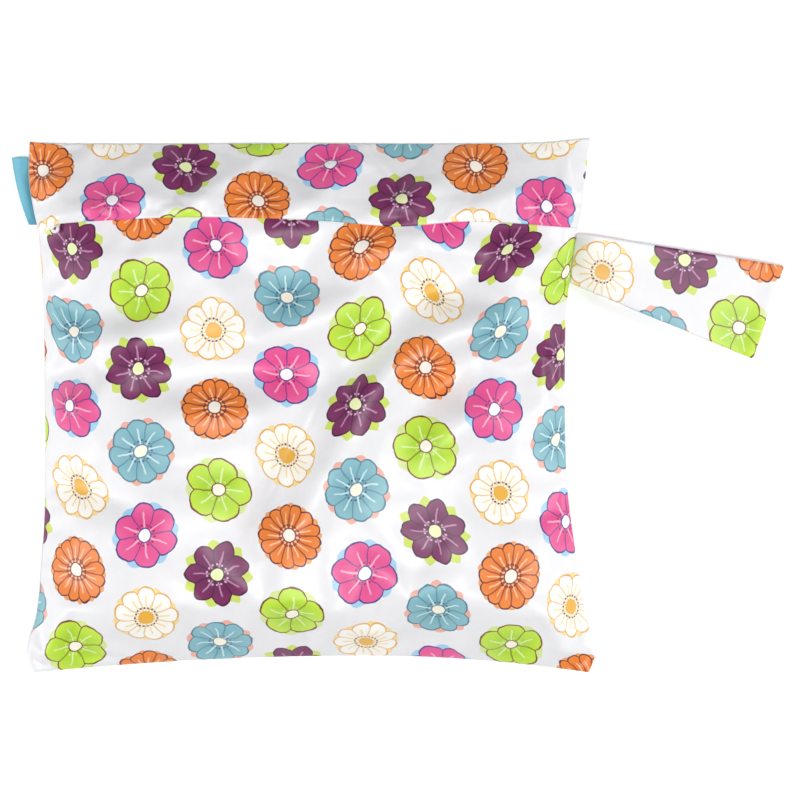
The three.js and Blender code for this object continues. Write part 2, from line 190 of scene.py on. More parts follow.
def fold_height(folds: Sequence[Fold], x: Array, y: Array) -> Array:
    """Sums the folds' heights: each falls off as a bell curve along and across its line.

    Args:
        folds: The folds.
        x: Places across, in millimetres.
        y: Places along.

    Returns:
        The height at each place.
    """
    total = np.zeros_like(x)
    for fold in folds:
        cos, sin = math.cos(math.radians(fold.turn)), math.sin(math.radians(fold.turn))
        along = ((x - fold.x) * cos + (y - fold.y) * sin) / fold.length
        across = ((y - fold.y) * cos - (x - fold.x) * sin) / fold.width
        across = np.where(across > 0, across / fold.lean, across)
        total = total + fold.height * np.exp(-(along**2) - across**2)
    return total


def waves(x: Array, y: Array, length: float, count: int = 28, seed: int = 5) -> Array:
    """Returns an uneven rippled surface about zero: the mean of plane waves of many directions and lengths.

    Args:
        x: Places across.
        y: Places along.
        length: Middle wavelength, in the same unit.
        count: Number of waves.
        seed: Start of the fixed random numbers.

    Returns:
        Heights, mostly between -1.5 and 1.5.
    """
    shortest, longest = 0.6, 1.7
    rng = np.random.default_rng(seed)
    turn = rng.uniform(0, np.pi, count)
    rate = TURN / (length * rng.uniform(shortest, longest, count))
    phase = rng.uniform(0, TURN, count)
    across = x[..., None] * np.cos(turn) + y[..., None] * np.sin(turn)
    return np.sin(across * rate + phase).sum(axis=-1) * math.sqrt(2 / count)


def normals_of(points: Array) -> Array:
    """Returns the unit normals of a grid of points, from the cross product of its two directions."""
    normal = np.cross(np.gradient(points, axis=0), np.gradient(points, axis=1))
    return normal / np.maximum(np.linalg.norm(normal, axis=-1, keepdims=True), TINY)


def faces_of(middle: Array, thick: Union[float, Array]) -> tuple[Array, Array]:
    """Returns a sheet's two faces: its middle surface moved by half the thickness along its normals."""
    half = normals_of(middle) * thick / 2
    return middle + half, middle - half


def pattern_uv(points: Array, origin: Pair) -> Array:
    """Returns the flat pattern of a grid: distances along its rows, from their middle, and its columns.

    Args:
        points: Grid of points in millimetres.
        origin: Where the pattern starts on the printed cloth, in millimetres.

    Returns:
        Grid of pattern places in metres.
    """
    along = np.linalg.norm(np.diff(points, axis=0, prepend=points[:1]), axis=-1).cumsum(axis=0)
    across = np.linalg.norm(np.diff(points, axis=1, prepend=points[:, :1]), axis=-1).cumsum(axis=1)
    along = along - along[len(along) // 2][None]
    return np.stack([along + origin[0], across + origin[1]], axis=-1) * MM


def along_axis(grid: Array, count: int) -> Array:
    """Reads a grid at a new number of even steps along its first axis: a cubic through its rows whose slope
    at a row is half the way between the rows beside it.

    Args:
        grid: Grid of numbers or points.
        count: New number of rows.

    Returns:
        The grid with that many rows.
    """
    last = len(grid) - 1
    place = np.linspace(0, last, count)
    i = np.clip(np.floor(place).astype(int), 0, last - 1)
    f = (place - i).reshape(-1, *([1] * (grid.ndim - 1)))
    before, here = grid[np.maximum(i - 1, 0)], grid[i]
    after, beyond = grid[i + 1], grid[np.minimum(i + 2, last)]
    slope, next_slope = (after - before) / 2, (beyond - here) / 2
    cubed = 2 * here - 2 * after + slope + next_slope
    squared = 3 * after - 3 * here - 2 * slope - next_slope
    return cubed * f**3 + squared * f**2 + slope * f + here


def refined(grid: Array, rows: int, columns: int) -> Array:
    """Returns a grid with new numbers of even steps along both its axes."""
    return along_axis(along_axis(grid, rows).swapaxes(0, 1), columns).swapaxes(0, 1)


def finer_ends(count: int, share: float = 0.6) -> Array:
    """Returns places from 0 to 1, closer together towards both ends: part even, part on a half circle."""
    even = np.linspace(0, 1, count)
    return lerp(even, (1 - np.cos(np.pi * even)) / 2, share)


def finer_start(count: int, share: float = 0.6) -> Array:
    """Returns places from 0 to 1, closer together towards the start: part even, part on a quarter circle."""
    even = np.linspace(0, 1, count)
    return lerp(even, 1 - np.cos(np.pi / 2 * even), share)


def half_turn(count: int) -> Array:
    """Returns the angles of points inside a half circle, in one row."""
    return np.linspace(0, np.pi, count + 2)[None, 1:-1]


@dataclass(frozen=True)
class BagForm:
    """The bag's form in millimetres about its own middle, as functions of s, from the left seam (0) to the
    right (1), and t, from the bottom seam (0) to the top edge (1).

    Attributes:
        cloth: Thickness of the cloth.
        gap: Space between sewn layers.
        bottom_y, top_y: Heights of the bottom corners and of the top edge.
        bottom_arch, arch_middle: Rise of the bottom seam's arch, and the s of its top.
        edge_lift: Height of the back's edges over the floor.
        side_power: Power of the swell's fall towards the side seams.
        bottom_shoulder, bottom_power: Reach and power of its rise from the bottom seam.
        top_shoulder, top_power: Reach and power of its fall to the top edge.
        fold_fade: Swell over which the folds come to their full height.
        chain_y: Height of the zip's coil.
        front_top_y: Height of the front's upper edge, under the lap.
        slider_x: Place of the slider.
        lump_height, lump_across, lump_below, lump_above: Height and reaches of the lump over the slider.
        ripple, ripple_length: Height and wavelength of the cloth's slight unevenness.
        ripple_end, ripple_fade: How far under the front's upper edge it ends, and over which it fades.
        hem_depth, hem_thick: Depth and thickness of the lap's turned hem.
        sewn_side, sewn_top: Share of the half width, and distance, over which the lap's folds fade.
        sections: Cross-sections, from the bottom up.
        top_edge: Heights of the top edge by s.
        lap_edge: Heights of the lap's lower edge by x.
        lap_rise: How far the lap stands off the front, by height.
        folds, lap_folds: Folds of the front, and those of the lap alone.
        buckles: Buckles along the side seams.
    """

    cloth: float = 1.0
    gap: float = 0.3
    bottom_y: float = -149.0
    top_y: float = 147.0
    bottom_arch: float = 9.5
    arch_middle: float = 0.6
    edge_lift: float = 2.0
    side_power: float = 6.0
    bottom_shoulder: float = 50.0
    bottom_power: float = 2.0
    top_shoulder: float = 55.0
    top_power: float = 1.6
    fold_fade: float = 9.0
    chain_y: float = 119.0
    front_top_y: float = 112.0
    slider_x: float = -139.0
    lump_height: float = 4.5
    lump_across: float = 15.0
    lump_below: float = 25.0
    lump_above: float = 9.0
    ripple: float = 0.2
    ripple_length: float = 22.0
    ripple_end: float = 4.0
    ripple_fade: float = 14.0
    hem_depth: float = 13.0
    hem_thick: float = 1.9
    sewn_side: float = 0.06
    sewn_top: float = 14.0
    sections: tuple[Section, ...] = table(
        Section,
        (-149, -152.5, 157.6, 33.0),
        (-138, -156.4, 161.0, 33.5),
        (-118, -151.3, 155.8, 33.5),
        (-88, -148.0, 150.8, 32.5),
        (-40, -146.0, 145.0, 29.5),
        (45, -146.8, 144.4, 26.0),
        (75, -148.2, 147.6, 25.0),
        (97, -149.6, 150.8, 24.3),
        (108, -152.0, 153.4, 24.0),
        (126, -154.8, 155.4, 24.0),
        (147, -154.6, 158.0, 24.0),
    )
    top_edge: tuple[EdgePoint, ...] = table(
        EdgePoint, (0, 147.2), (0.04, 146.1), (0.5, 146.2), (0.9, 146.4), (1, 149.2)
    )
    lap_edge: tuple[EdgePoint, ...] = table(
        EdgePoint,
        *((-152, 98.8), (-146, 98.9), (-142.5, 101.5), (-137, 102.2), (-118, 103.4)),
        *((-60, 105.4), (8, 103.4), (52, 100.2), (92, 103.0), (152, 100.2)),
    )
    lap_rise: tuple[EdgePoint, ...] = table(
        EdgePoint, (96, 2.1), (112, 1.9), (122, 1.0), (129, 0.15), (150, 0.0)
    )
    folds: tuple[Fold, ...] = table(
        Fold,
        *((36, 100, 14, 34, 9, -2.0), (40, 87, 14, 38, 12, 2.6, 0.8)),
        *((77, 66, 25, 34, 13, -7.6), (89, 41, 22, 38, 16, 9.8, 0.8)),
        *((-4, 70, 20, 26, 13, -4.6), (2, 48, 20, 30, 15, 5.4, 0.8)),
        *((-106, 56, 10, 30, 13, -4.8), (-100, 34, 10, 32, 14, 7.2, 0.8)),
        *((-134, 19, 24, 22, 11, -6.4), (-128, -1, 24, 24, 13, 7.4, 0.8)),
        *((-48, 20, 4, 48, 13, -5.8), (-42, -6, 4, 52, 16, 7.0, 0.8)),
        *((26, 24, 40, 22, 11, -5.6), (36, 6, 40, 24, 14, 5.8, 0.8)),
        *((75, 10, 44, 24, 11, -6.6), (89, -9, 44, 26, 14, 7.2, 0.8)),
        *((-2, -14, 48, 26, 12, -6.4), (14, -36, 48, 30, 16, 7.4, 0.8)),
        *((-18, -50, 50, 20, 11, -5.2), (-4, -66, 50, 22, 13, 5.4, 0.8)),
        *((116, 98, 16, 22, 10, -2.4), (122, 78, 24, 24, 11, 4.4, 0.8)),
        *((8, -111, 0, 34, 12, 5.6), (110, -111, -6, 34, 12, 6.4)),
        *((61, -88, 8, 18, 9, -3.0), (-94, -113, 10, 26, 12, 2.4)),
        *((111, 41, 80, 10, 4, -1.4), (86, 3, 85, 12, 4, -1.6)),
        (-60, -58, 14, 60, 20, 2.3),
        *((140.5, 90, 84, 11, 2.6, -1.0), (145.5, 87, 92, 12, 2.2, 1.1)),
    )
    lap_folds: tuple[Fold, ...] = table(
        Fold,
        *((-112, 110, 12, 36, 8, 3.4, 0.6), (-52, 121, 30, 28, 7, 3.6, 0.6)),
        *((4, 115, 26, 30, 8, 3.5, 0.6), (58, 116, 24, 30, 8, 3.6, 0.6)),
        *((104, 115, 16, 26, 8, 2.8, 0.6), (-84, 134, 14, 26, 6, 2.0, 0.6)),
        *((24, 135, 10, 30, 6, 1.8, 0.6), (-134, 131, 30, 14, 6, 1.2, 0.7)),
    )
    buckles: tuple[Buckle, ...] = table(
        Buckle,
        (Side.RIGHT, -56, 17, 18, 0.14),
        (Side.RIGHT, 22, 15, 16, 0.22),
        (Side.RIGHT, -108, 13, 18, 0.2),
        (Side.LEFT, -100, 17, 22, 0.22),
        (Side.LEFT, -48, 14, 15, 0.2),
        (Side.LEFT, 30, 15, 16, 0.2),
    )

    @property
    def seam_z(self) -> float:
        """Height of the front cloth's inner face along the seams."""
        return self.edge_lift + self.cloth + self.gap

    def ends(self, s: Array) -> tuple[Array, Array]:
        """Gives the bag's ends: the bottom seam, a parabola on either side of its top, and the top edge.

        Args:
            s: Place across, 0 to 1.

        Returns:
            Heights y of the bottom seam and of the top edge.
        """
        reach = np.where(s < self.arch_middle, self.arch_middle, 1 - self.arch_middle)
        bottom = self.bottom_y + self.bottom_arch * (1 - ((s - self.arch_middle) / reach) ** 2)
        return bottom, read(self.top_edge, "at", "y", s)

    def t_at(self, s: Array, y: Union[float, Array]) -> Array:
        """Returns the t at which the line of one s reaches a height y."""
        bottom, top = self.ends(s)
        return (y - bottom) / (top - bottom)

    def sides(self, t: Array) -> tuple[Array, Array]:
        """Returns the x of the left and right seams at t."""
        edge_y = lerp(self.bottom_y, self.top_y, t)
        return read(self.sections, "y", "left", edge_y), read(self.sections, "y", "right", edge_y)

    def plan(self, s: Array, t: Array) -> tuple[Array, Array]:
        """Places the form in plan: shares of the ways between the side seams and between the two ends.

        Args:
            s: Place across, 0 to 1.
            t: Place along, 0 to 1.

        Returns:
            The places x and y.
        """
        bottom, top = self.ends(s)
        left, right = self.sides(t)
        return lerp(left, right, s), lerp(bottom, top, t)

    def seam_x(self, side: Side, y: Array) -> Array:
        """Returns the x of a side seam at heights y."""
        s = np.full_like(y, 1.0 if side is Side.RIGHT else 0.0)
        return self.plan(s, self.t_at(s, y))[0]

    def points(self, s: Array, t: Array, z: Array) -> Array:
        """Returns the points over s and t at heights z."""
        return np.stack([*self.plan(s, t), z], axis=-1)

    def buckled(self, s: Array, t: Array) -> Array:
        """Takes the buckles off the swell: each takes most at its reach from the seam, and falls off as a
        bell curve along the seam.

        Args:
            s: Place across, 0 to 1.
            t: Place along, 0 to 1.

        Returns:
            The share of the swell that is left.
        """
        x, y = self.plan(s, t)
        left, right = self.sides(t)
        share = np.ones_like(x)
        for buckle in self.buckles:
            inward = (right - x if buckle.side is Side.RIGHT else x - left) / buckle.reach
            along = (y - buckle.y) / buckle.width
            share = share * (1 - buckle.loss * inward * np.exp(1 - inward) * np.exp(-(along**2)))
        return share

    def inner_z(self, s: Array, t: Array) -> Array:
        """Gives the front cloth's inner face: one less a power of the distance from the middle across the
        bag, times the shoulders at both ends, times the section's swell, with the folds where it is
        swelled.

        Args:
            s: Place across, 0 to 1.
            t: Place along, 0 to 1.

        Returns:
            Heights over the floor.
        """
        x, y = self.plan(s, t)
        bottom, top = self.ends(s)
        side = 1 - np.abs(2 * s - 1) ** self.side_power
        low = 1 - unit(1 - (y - bottom) / self.bottom_shoulder) ** self.bottom_power
        high = 1 - unit(1 - (top - y) / self.top_shoulder) ** self.top_power
        swell = read(self.sections, "y", "swell", y) * side * low * high * self.buckled(s, t)
        clear = unit((self.front_top_y - self.ripple_end - y) / self.ripple_fade)
        bumps = fold_height(self.folds, x, y) + self.ripple * waves(x, y, self.ripple_length) * clear
        return self.seam_z + swell + bumps * unit(swell / self.fold_fade)

    def lap_z(self, s: Array, t: Array) -> Array:
        """Gives the lap's inner face: the front's, the lap's rise over the zip, its own folds and the lump
        over the slider, which fade out where the lap is sewn.

        Args:
            s: Place across, 0 to 1.
            t: Place along, 0 to 1.

        Returns:
            Heights over the floor.
        """
        x, y = self.plan(s, t)
        sewn = unit((1 - np.abs(2 * s - 1)) / self.sewn_side) * unit((self.top_y - y) / self.sewn_top)
        sideways = (x - self.slider_x) / self.lump_across
        upwards = (y - self.chain_y) / np.where(y < self.chain_y, self.lump_below, self.lump_above)
        lump = self.lump_height * np.exp(-(sideways**2) - upwards**4)
        folds = np.maximum(0, fold_height(self.lap_folds, x, y))
        return self.inner_z(s, t) + read(self.lap_rise, "at", "y", y) + sewn * (lump + folds)


FORM = BagForm()


@dataclass(frozen=True)
class TabPlace:
    """The folded tab's corners in the bag's own millimetres, which tie the bag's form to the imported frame.

    Attributes:
        low, high: Heights of its ends along the seam.
        fold_low, fold_high: Places across of its fold at those ends.
        root_z, fold_z: Heights over the floor of its root and of its fold.
    """

    low: float = 101.4
    high: float = 138.6
    fold_low: float = -155.6
    fold_high: float = -165.2
    root_z: float = 3.2
    fold_z: float = 1.4


TAB = TabPlace()


def frame_shift() -> Array:
    """Returns what moves the bag's own millimetres into the frame, read off the tab's outer corner."""
    low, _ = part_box("side_tab")
    return np.array([low.x / MM - TAB.fold_high, low.y / MM - TAB.low, 0.0])


SHIFT = frame_shift()


def placed(name: str, data: bpy.types.ID) -> Piece:
    """Puts a mesh, lamp or camera into the scene.

    Args:
        name: Name of the object.
        data: Its data.

    Returns:
        The new object.
    """
    item = bpy.data.objects.new(name, data)
    bpy.context.scene.collection.objects.link(item)
    return item


def mesh_object(name: str, points: Array, faces: Array, uv: Array) -> Piece:
    """Puts arrays of points, four-sided faces and a pattern place for each point into a new smooth mesh.

    Args:
        name: Name of the piece.
        points: Points in metres.
        faces: Four point numbers for each face.
        uv: Pattern place of each point, in metres.

    Returns:
        The new object, linked to the scene.
    """
    mesh = bpy.data.meshes.new(name)
    mesh.vertices.add(len(points))
    mesh.vertices.foreach_set("co", points.astype(np.float32).ravel())
    mesh.loops.add(faces.size)
    mesh.loops.foreach_set("vertex_index", faces.astype(np.int32).ravel())
    mesh.polygons.add(len(faces))
    mesh.polygons.foreach_set("loop_start", np.arange(0, faces.size, 4, dtype=np.int32))
    mesh.polygons.foreach_set("use_smooth", np.ones(len(faces), bool))
    layer = mesh.uv_layers.new(name="pattern")
    layer.uv.foreach_set("vector", uv[faces.ravel()].astype(np.float32).ravel())
    mesh.update(calc_edges=True)
    mesh.validate()
    return placed(name, mesh)


def grid_quads(index: Array) -> Array:
    """Returns the four-sided faces of a grid of point numbers."""
    corners = [index[:-1, :-1], index[1:, :-1], index[1:, 1:], index[:-1, 1:]]
    return np.stack(corners, axis=-1).reshape(-1, 4)


@dataclass
class ClosedSheet:
    """A sheet of cloth as one closed mesh: an outer and an inner grid joined by a round rim.

    Attributes:
        name: Name of the piece.
        outer: Grid of the outer face, in millimetres.
        inner: Grid of the inner face.
        uv: Grid of pattern places, in metres.
        rim_rows: Rows of points round the rim.
    """

    name: str
    outer: Array
    inner: Array
    uv: Array
    rim_rows: int = 3

    def _loop(self) -> Array:
        """Returns the grid indices round the border, in the turning sense of the outer face."""
        rows, columns = self.outer.shape[:2]
        index = np.arange(rows * columns).reshape(rows, columns)
        return np.concatenate([index[:-1, 0], index[-1, :-1], index[:0:-1, -1], index[0, :0:-1]])

    def _rim(self, loop: Array) -> Array:
        """Rounds the rim: half circles from the outer to the inner border, bulging away from the sheet.

        Args:
            loop: Grid indices round the border.

        Returns:
            The rim's rows of points.
        """
        middle = (self.outer + self.inner) / 2
        inside = middle.copy()
        inside[0], inside[-1] = middle[1], middle[-2]
        inside[:, 0], inside[:, -1] = inside[:, 1], inside[:, -2]
        border = middle.reshape(-1, 3)[loop]
        away = border - inside.reshape(-1, 3)[loop]
        away = away / np.maximum(np.linalg.norm(away, axis=-1, keepdims=True), TINY)
        half = (self.outer - self.inner).reshape(-1, 3)[loop] / 2
        radius = np.linalg.norm(half, axis=-1, keepdims=True)
        angles = half_turn(self.rim_rows)[0]
        return np.stack([border + half * math.cos(a) + away * radius * math.sin(a) for a in angles])

    def build(self) -> Piece:
        """Makes the mesh: outer grid, inner grid turned over, and strips of quads round the rim.

        Returns:
            The new object, in metres in the frame.
        """
        rows, columns = self.outer.shape[:2]
        count = rows * columns
        quads = grid_quads(np.arange(count).reshape(rows, columns))
        loop = self._loop()
        rim = self._rim(loop)
        rim_lines = 2 * count + np.arange(self.rim_rows * len(loop)).reshape(self.rim_rows, -1)
        lines = [loop, *rim_lines, loop + count]
        strips = [
            np.stack([high, low, np.roll(low, -1), np.roll(high, -1)], axis=-1)
            for high, low in zip(lines, lines[1:])
        ]
        points = np.concatenate([grid.reshape(-1, 3) for grid in (self.outer, self.inner, rim)])
        flat = self.uv.reshape(-1, 2)
        uv = np.concatenate([flat, flat, np.tile(flat[loop], (self.rim_rows, 1))])
        faces = np.concatenate([quads, quads[:, ::-1] + count, *strips])
        return mesh_object(self.name, (points + SHIFT) * MM, faces, uv)


@dataclass(frozen=True)
class Settling:
    """A cloth simulation that lets a sheet, sewn round its border, buckle and sag.

    Attributes:
        frames: Steps of the simulation.
        scale: Size of the simulated sheet against the real one, in metres for a millimetre.
        excess: Share by which the cloth is longer than the way between its seams.
        gravity: Share of gravity.
        hold: How firmly inner points are tied to their start, 0 to 1.
        bend, stretch, shear: Stiffness against bending, stretching and shearing.
        mass: Mass of a point.
        drag: How much the air slows it.
        quality: Steps in each frame.
        cap: How far a point may move, in millimetres.
    """

    frames: int = 22
    scale: float = 0.01
    excess: float = 0.02
    gravity: float = 0.0
    hold: float = 0.04
    bend: float = 3.0
    stretch: float = 25.0
    shear: float = 10.0
    mass: float = 0.15
    drag: float = 2.0
    quality: int = 8
    cap: float = 5.0

    def _prepare(self, piece: Piece, index: Array) -> None:
        """Ties the sheet's points to their start, the border's wholly, and gives it the cloth's properties.

        Args:
            piece: The sheet to simulate.
            index: Grid of its point numbers.
        """
        border = np.concatenate([index[0], index[-1], index[1:-1, 0], index[1:-1, -1]])
        group = piece.vertex_groups.new(name="held")
        group.add(index.ravel().tolist(), self.hold, "REPLACE")
        group.add(border.tolist(), 1.0, "REPLACE")
        cloth = piece.modifiers.new("settle", "CLOTH")
        cloth.point_cache.frame_start, cloth.point_cache.frame_end = 1, self.frames
        cloth.collision_settings.use_collision = False
        settings = cloth.settings
        settings.quality = self.quality
        settings.mass = self.mass
        settings.air_damping = self.drag
        settings.tension_stiffness = settings.compression_stiffness = self.stretch
        settings.shear_stiffness = self.shear
        settings.bending_stiffness = self.bend
        settings.vertex_group_mass = group.name
        settings.shrink_min = -self.excess
        settings.effector_weights.gravity = self.gravity

    def run(self, grid: Array) -> Array:
        """Simulates a grid whose border is held, and removes the simulated sheet.

        Args:
            grid: Grid of points in millimetres.

        Returns:
            How far each point moved, in millimetres, bent over so that it stays under the cap.
        """
        rows, columns = grid.shape[:2]
        index = np.arange(rows * columns).reshape(rows, columns)
        points = grid.reshape(-1, 3) * self.scale
        piece = mesh_object("settling_sheet", points, grid_quads(index), points[:, :2])
        self._prepare(piece, index)
        scene = bpy.context.scene
        for number in range(1, self.frames + 1):
            scene.frame_set(number)
        settled = piece.evaluated_get(bpy.context.evaluated_depsgraph_get()).data
        place = np.empty(points.size, np.float32)
        settled.vertices.foreach_get("co", place)
        scene.frame_set(1)
        mesh = piece.data
        bpy.data.objects.remove(piece)
        bpy.data.meshes.remove(mesh)
        moved = (place.reshape(grid.shape) - points.reshape(grid.shape)) / self.scale
        length = np.linalg.norm(moved, axis=-1, keepdims=True)
        LOG.info("settled: mean move %.2f mm, largest %.2f mm", length.mean(), length.max())
        return moved * (self.cap * np.tanh(length / self.cap) / np.maximum(length, TINY))


class Term:
    """A number in a material's graph, on which plain arithmetic adds Math nodes."""

    def __init__(self, graph: "Graph", socket: Socket) -> None:
        """Wraps an output of one of the graph's nodes."""
        self.graph = graph
        self.socket = socket

    def __add__(self, other: Number) -> "Term":
        """Adds a number."""
        return self.graph.math("ADD", self, other)

    def __sub__(self, other: Number) -> "Term":
        """Takes a number away."""
        return self.graph.math("SUBTRACT", self, other)

    def __rsub__(self, other: float) -> "Term":
        """Takes this number away from another."""
        return self.graph.math("SUBTRACT", other, self)

    def __mul__(self, other: Number) -> "Term":
        """Multiplies by a number."""
        return self.graph.math("MULTIPLY", self, other)

    def __truediv__(self, other: Number) -> "Term":
        """Divides by a number."""
        return self.graph.math("DIVIDE", self, other)

    def __rtruediv__(self, other: float) -> "Term":
        """Divides another number by this one."""
        return self.graph.math("DIVIDE", other, self)

    def __mod__(self, other: Number) -> "Term":
        """Returns what is left over after division, never below zero."""
        return self.graph.math("FLOORED_MODULO", self, other)

    def __pow__(self, other: Number) -> "Term":
        """Raises to a power."""
        return self.graph.math("POWER", self, other)

    def __abs__(self) -> "Term":
        """Drops the sign."""
        return self.graph.math("ABSOLUTE", self)


class Graph:
    """Builds a material's nodes with short calls."""

    def __init__(self, name: str, **surface: Union[float, Sequence[float]]) -> None:
        """Starts a material with a Principled shader on its output.

        Args:
            name: Name of the material.
            surface: Values of the shader's own inputs, with underscores for spaces.
        """
        self.material = bpy.data.materials.new(name)
        self.material.use_nodes = True
        self.tree = self.material.node_tree
        self.tree.nodes.clear()
        self.shader = self.node("ShaderNodeBsdfPrincipled", **surface)
        self.node("ShaderNodeOutputMaterial", Surface=self.shader.outputs["BSDF"])

    def feed(self, socket: Socket, value: Union[Number, Colour]) -> None:
        """Links an output to an input, or sets the input's own value.

        Args:
            socket: The input.
            value: An output, or a plain value.
        """
        source = value.socket if isinstance(value, Term) else value
        if isinstance(source, bpy.types.NodeSocket):
            self.tree.links.new(source, socket)
        else:
            socket.default_value = source

    def node(self, kind: str, **inputs: Union[Number, Colour]) -> bpy.types.Node:
        """Adds a node and feeds its inputs.

        Args:
            kind: The node's type.
            inputs: Its inputs by name, with underscores for spaces.

        Returns:
            The new node.
        """
        node = self.tree.nodes.new(kind)
        for key, value in inputs.items():
            self.feed(node.inputs[key.replace("_", " ")], value)
        return node

    def math(self, operation: str, *values: Number) -> Term:
        """Adds a Math node.

        Args:
            operation: Its operation.
            values: One or two numbers.

        Returns:
            Its result.
        """
        node = self.node("ShaderNodeMath")
        node.operation = operation
        for socket, value in zip(node.inputs, values):
            self.feed(socket, value)
        return Term(self, node.outputs[0])

    def step(self, value: Term, low: float, high: float) -> Term:
        """Makes a soft step of a value.

        Args:
            value: The value.
            low: Where the step starts.
            high: Where it ends.

        Returns:
            0 below the start, 1 above the end.
        """
        node = self.node("ShaderNodeMapRange", Value=value, From_Min=low, From_Max=high)
        node.interpolation_type = "SMOOTHSTEP"
        return Term(self, node.outputs["Result"])

    def mix(self, share: Term, a: Colour, b: Colour) -> Socket:
        """Turns one colour towards another.

        Args:
            share: How far.
            a: The first colour.
            b: The second colour.

        Returns:
            The colour between them.
        """
        node = self.node("ShaderNodeMix")
        node.data_type = "RGBA"
        for name, value in (("Factor", share), ("A", a), ("B", b)):
            self.feed(node.inputs[name], value)
        return node.outputs["Result"]

    def choose(self, index: Term, colours: Sequence[Sequence[float]]) -> Socket:
        """Picks a colour by its number, from a ramp of steps.

        Args:
            index: The number.
            colours: The colours' three channels.

        Returns:
            The colour.
        """
        node = self.node("ShaderNodeValToRGB", Fac=(index + 0.5) / len(colours))
        ramp = node.color_ramp
        ramp.interpolation = "CONSTANT"
        while len(ramp.elements) < len(colours):
            ramp.elements.new(1.0)
        for number, colour in enumerate(colours):
            ramp.elements[number].position = number / len(colours)
            ramp.elements[number].color = (*colour, 1.0)
        return node.outputs["Color"]

    def channels(self, colour: Socket) -> list[Term]:
        """Returns a colour's three channels as numbers."""
        return [Term(self, part) for part in self.node("ShaderNodeSeparateColor", Color=colour).outputs]

    def parts(self, vector: Socket) -> list[Term]:
        """Returns a vector's three parts as numbers."""
        return [Term(self, part) for part in self.node("ShaderNodeSeparateXYZ", Vector=vector).outputs]

    def pattern(self) -> list[Term]:
        """Returns the piece's own pattern place, across and along, in millimetres."""
        uv = self.node("ShaderNodeUVMap")
        uv.uv_map = "pattern"
        return [part / MM for part in self.parts(uv.outputs["UV"])[:2]]

    def object_place(self) -> Socket:
        """Returns the place in Object coordinates."""
        return self.node("ShaderNodeTexCoord").outputs["Object"]

    def vector(self, x: Term, y: Term) -> Socket:
        """Returns a flat vector of two numbers."""
        return self.node("ShaderNodeCombineXYZ", X=x, Y=y).outputs["Vector"]

    def noise(self, place: Socket, scale: float, detail: float, rough: float = 0.5) -> bpy.types.Node:
        """Adds a noise texture over a place."""
        return self.node("ShaderNodeTexNoise", Vector=place, Scale=scale, Detail=detail, Roughness=rough)

    def paint(self, colour: Colour, value: Term) -> None:
        """Gives the shader a colour whose brightness is multiplied by a value."""
        tint = self.node("ShaderNodeHueSaturation", Color=colour, Value=value)
        self.feed(self.shader.inputs["Base Color"], tint.outputs["Color"])

    def bump(self, height: Term, distance: float, strength: float) -> None:
        """Puts a bump of a height, in units of a distance in metres, on the shader."""
        node = self.node("ShaderNodeBump", Height=height, Distance=distance, Strength=strength)
        self.feed(self.shader.inputs["Normal"], node.outputs["Normal"])


def rgb(code: str) -> Triple:
    """Turns a colour of the screen into linear light, by the standard curve of screens.

    Args:
        code: Six hexadecimal digits.

    Returns:
        Three channels from 0 to 1.
    """
    parts = np.array([int(code[i : i + 2], 16) for i in (0, 2, 4)]) / 255
    linear = np.where(parts <= 0.04045, parts / 12.92, ((parts + 0.055) / 1.055) ** 2.4)
    return tuple(float(x) for x in linear)


@dataclass(frozen=True)
class Flower:
    """One kind of printed flower.

    Attributes:
        petals: How many petals.
        radius: Radius in millimetres.
        depth: How deep the notches between petals are, as a share of the radius.
        round: Power of the petals' outline: 1 is pointed, 3 is blunt.
        rim: Radius of the leaves behind it, as a share of its own.
        heart: Radius of its middle in millimetres.
        leaf, line, tip, base, vein, middle, dot: Its colours.
    """

    petals: int
    radius: float
    depth: float
    round: float
    rim: float
    heart: float
    leaf: str
    line: str
    tip: str
    base: str
    vein: str
    middle: str
    dot: str


FLOWERS: tuple[Flower, ...] = table(
    Flower,
    (5, 18.7, 0.24, 2.4, 1.0, 4.2, "d8ea9a", "7d3b22", "c6ea48", "aeda36", "e2f3ac", "fffbea", "d3ec86"),
    (13, 18.9, 0.12, 2.4, 1.02, 4.4, "f3a566", "6b2230", "f48a3c", "ea7730", "fcc492", "fff6ea", "8a3a33"),
    (9, 18.6, 0.18, 2.6, 1.0, 4.6, "f6dc9c", "e8ac44", "fffdf8", "fdf8ec", "f4dca6", "efb544", "4b3c50"),
    (6, 18.7, 0.2, 2.2, 1.03, 4.2, "a9d4f0", "40408c", "ee5f9d", "e84d8f", "f9b3cf", "fffafc", "8f2763"),
    (8, 18.7, 0.16, 2.2, 1.04, 4.4, "f2b3a2", "557f95", "8cc0cb", "79b1be", "cfe8ec", "fff8e6", "3f5f86"),
    (7, 19.0, 0.26, 1.6, 1.06, 4.2, "d2e36a", "45183a", "7f3063", "6e2757", "bd86ac", "eef5bc", "dcb6cf"),
)
# A flower's sizes travel as a colour's channels, so each is divided by one that none of them reaches.
SIZE_LIMITS = {"petals": 16.0, "depth": 1.0, "round": 4.0, "radius": 24.0, "rim": 2.0, "heart": 8.0}


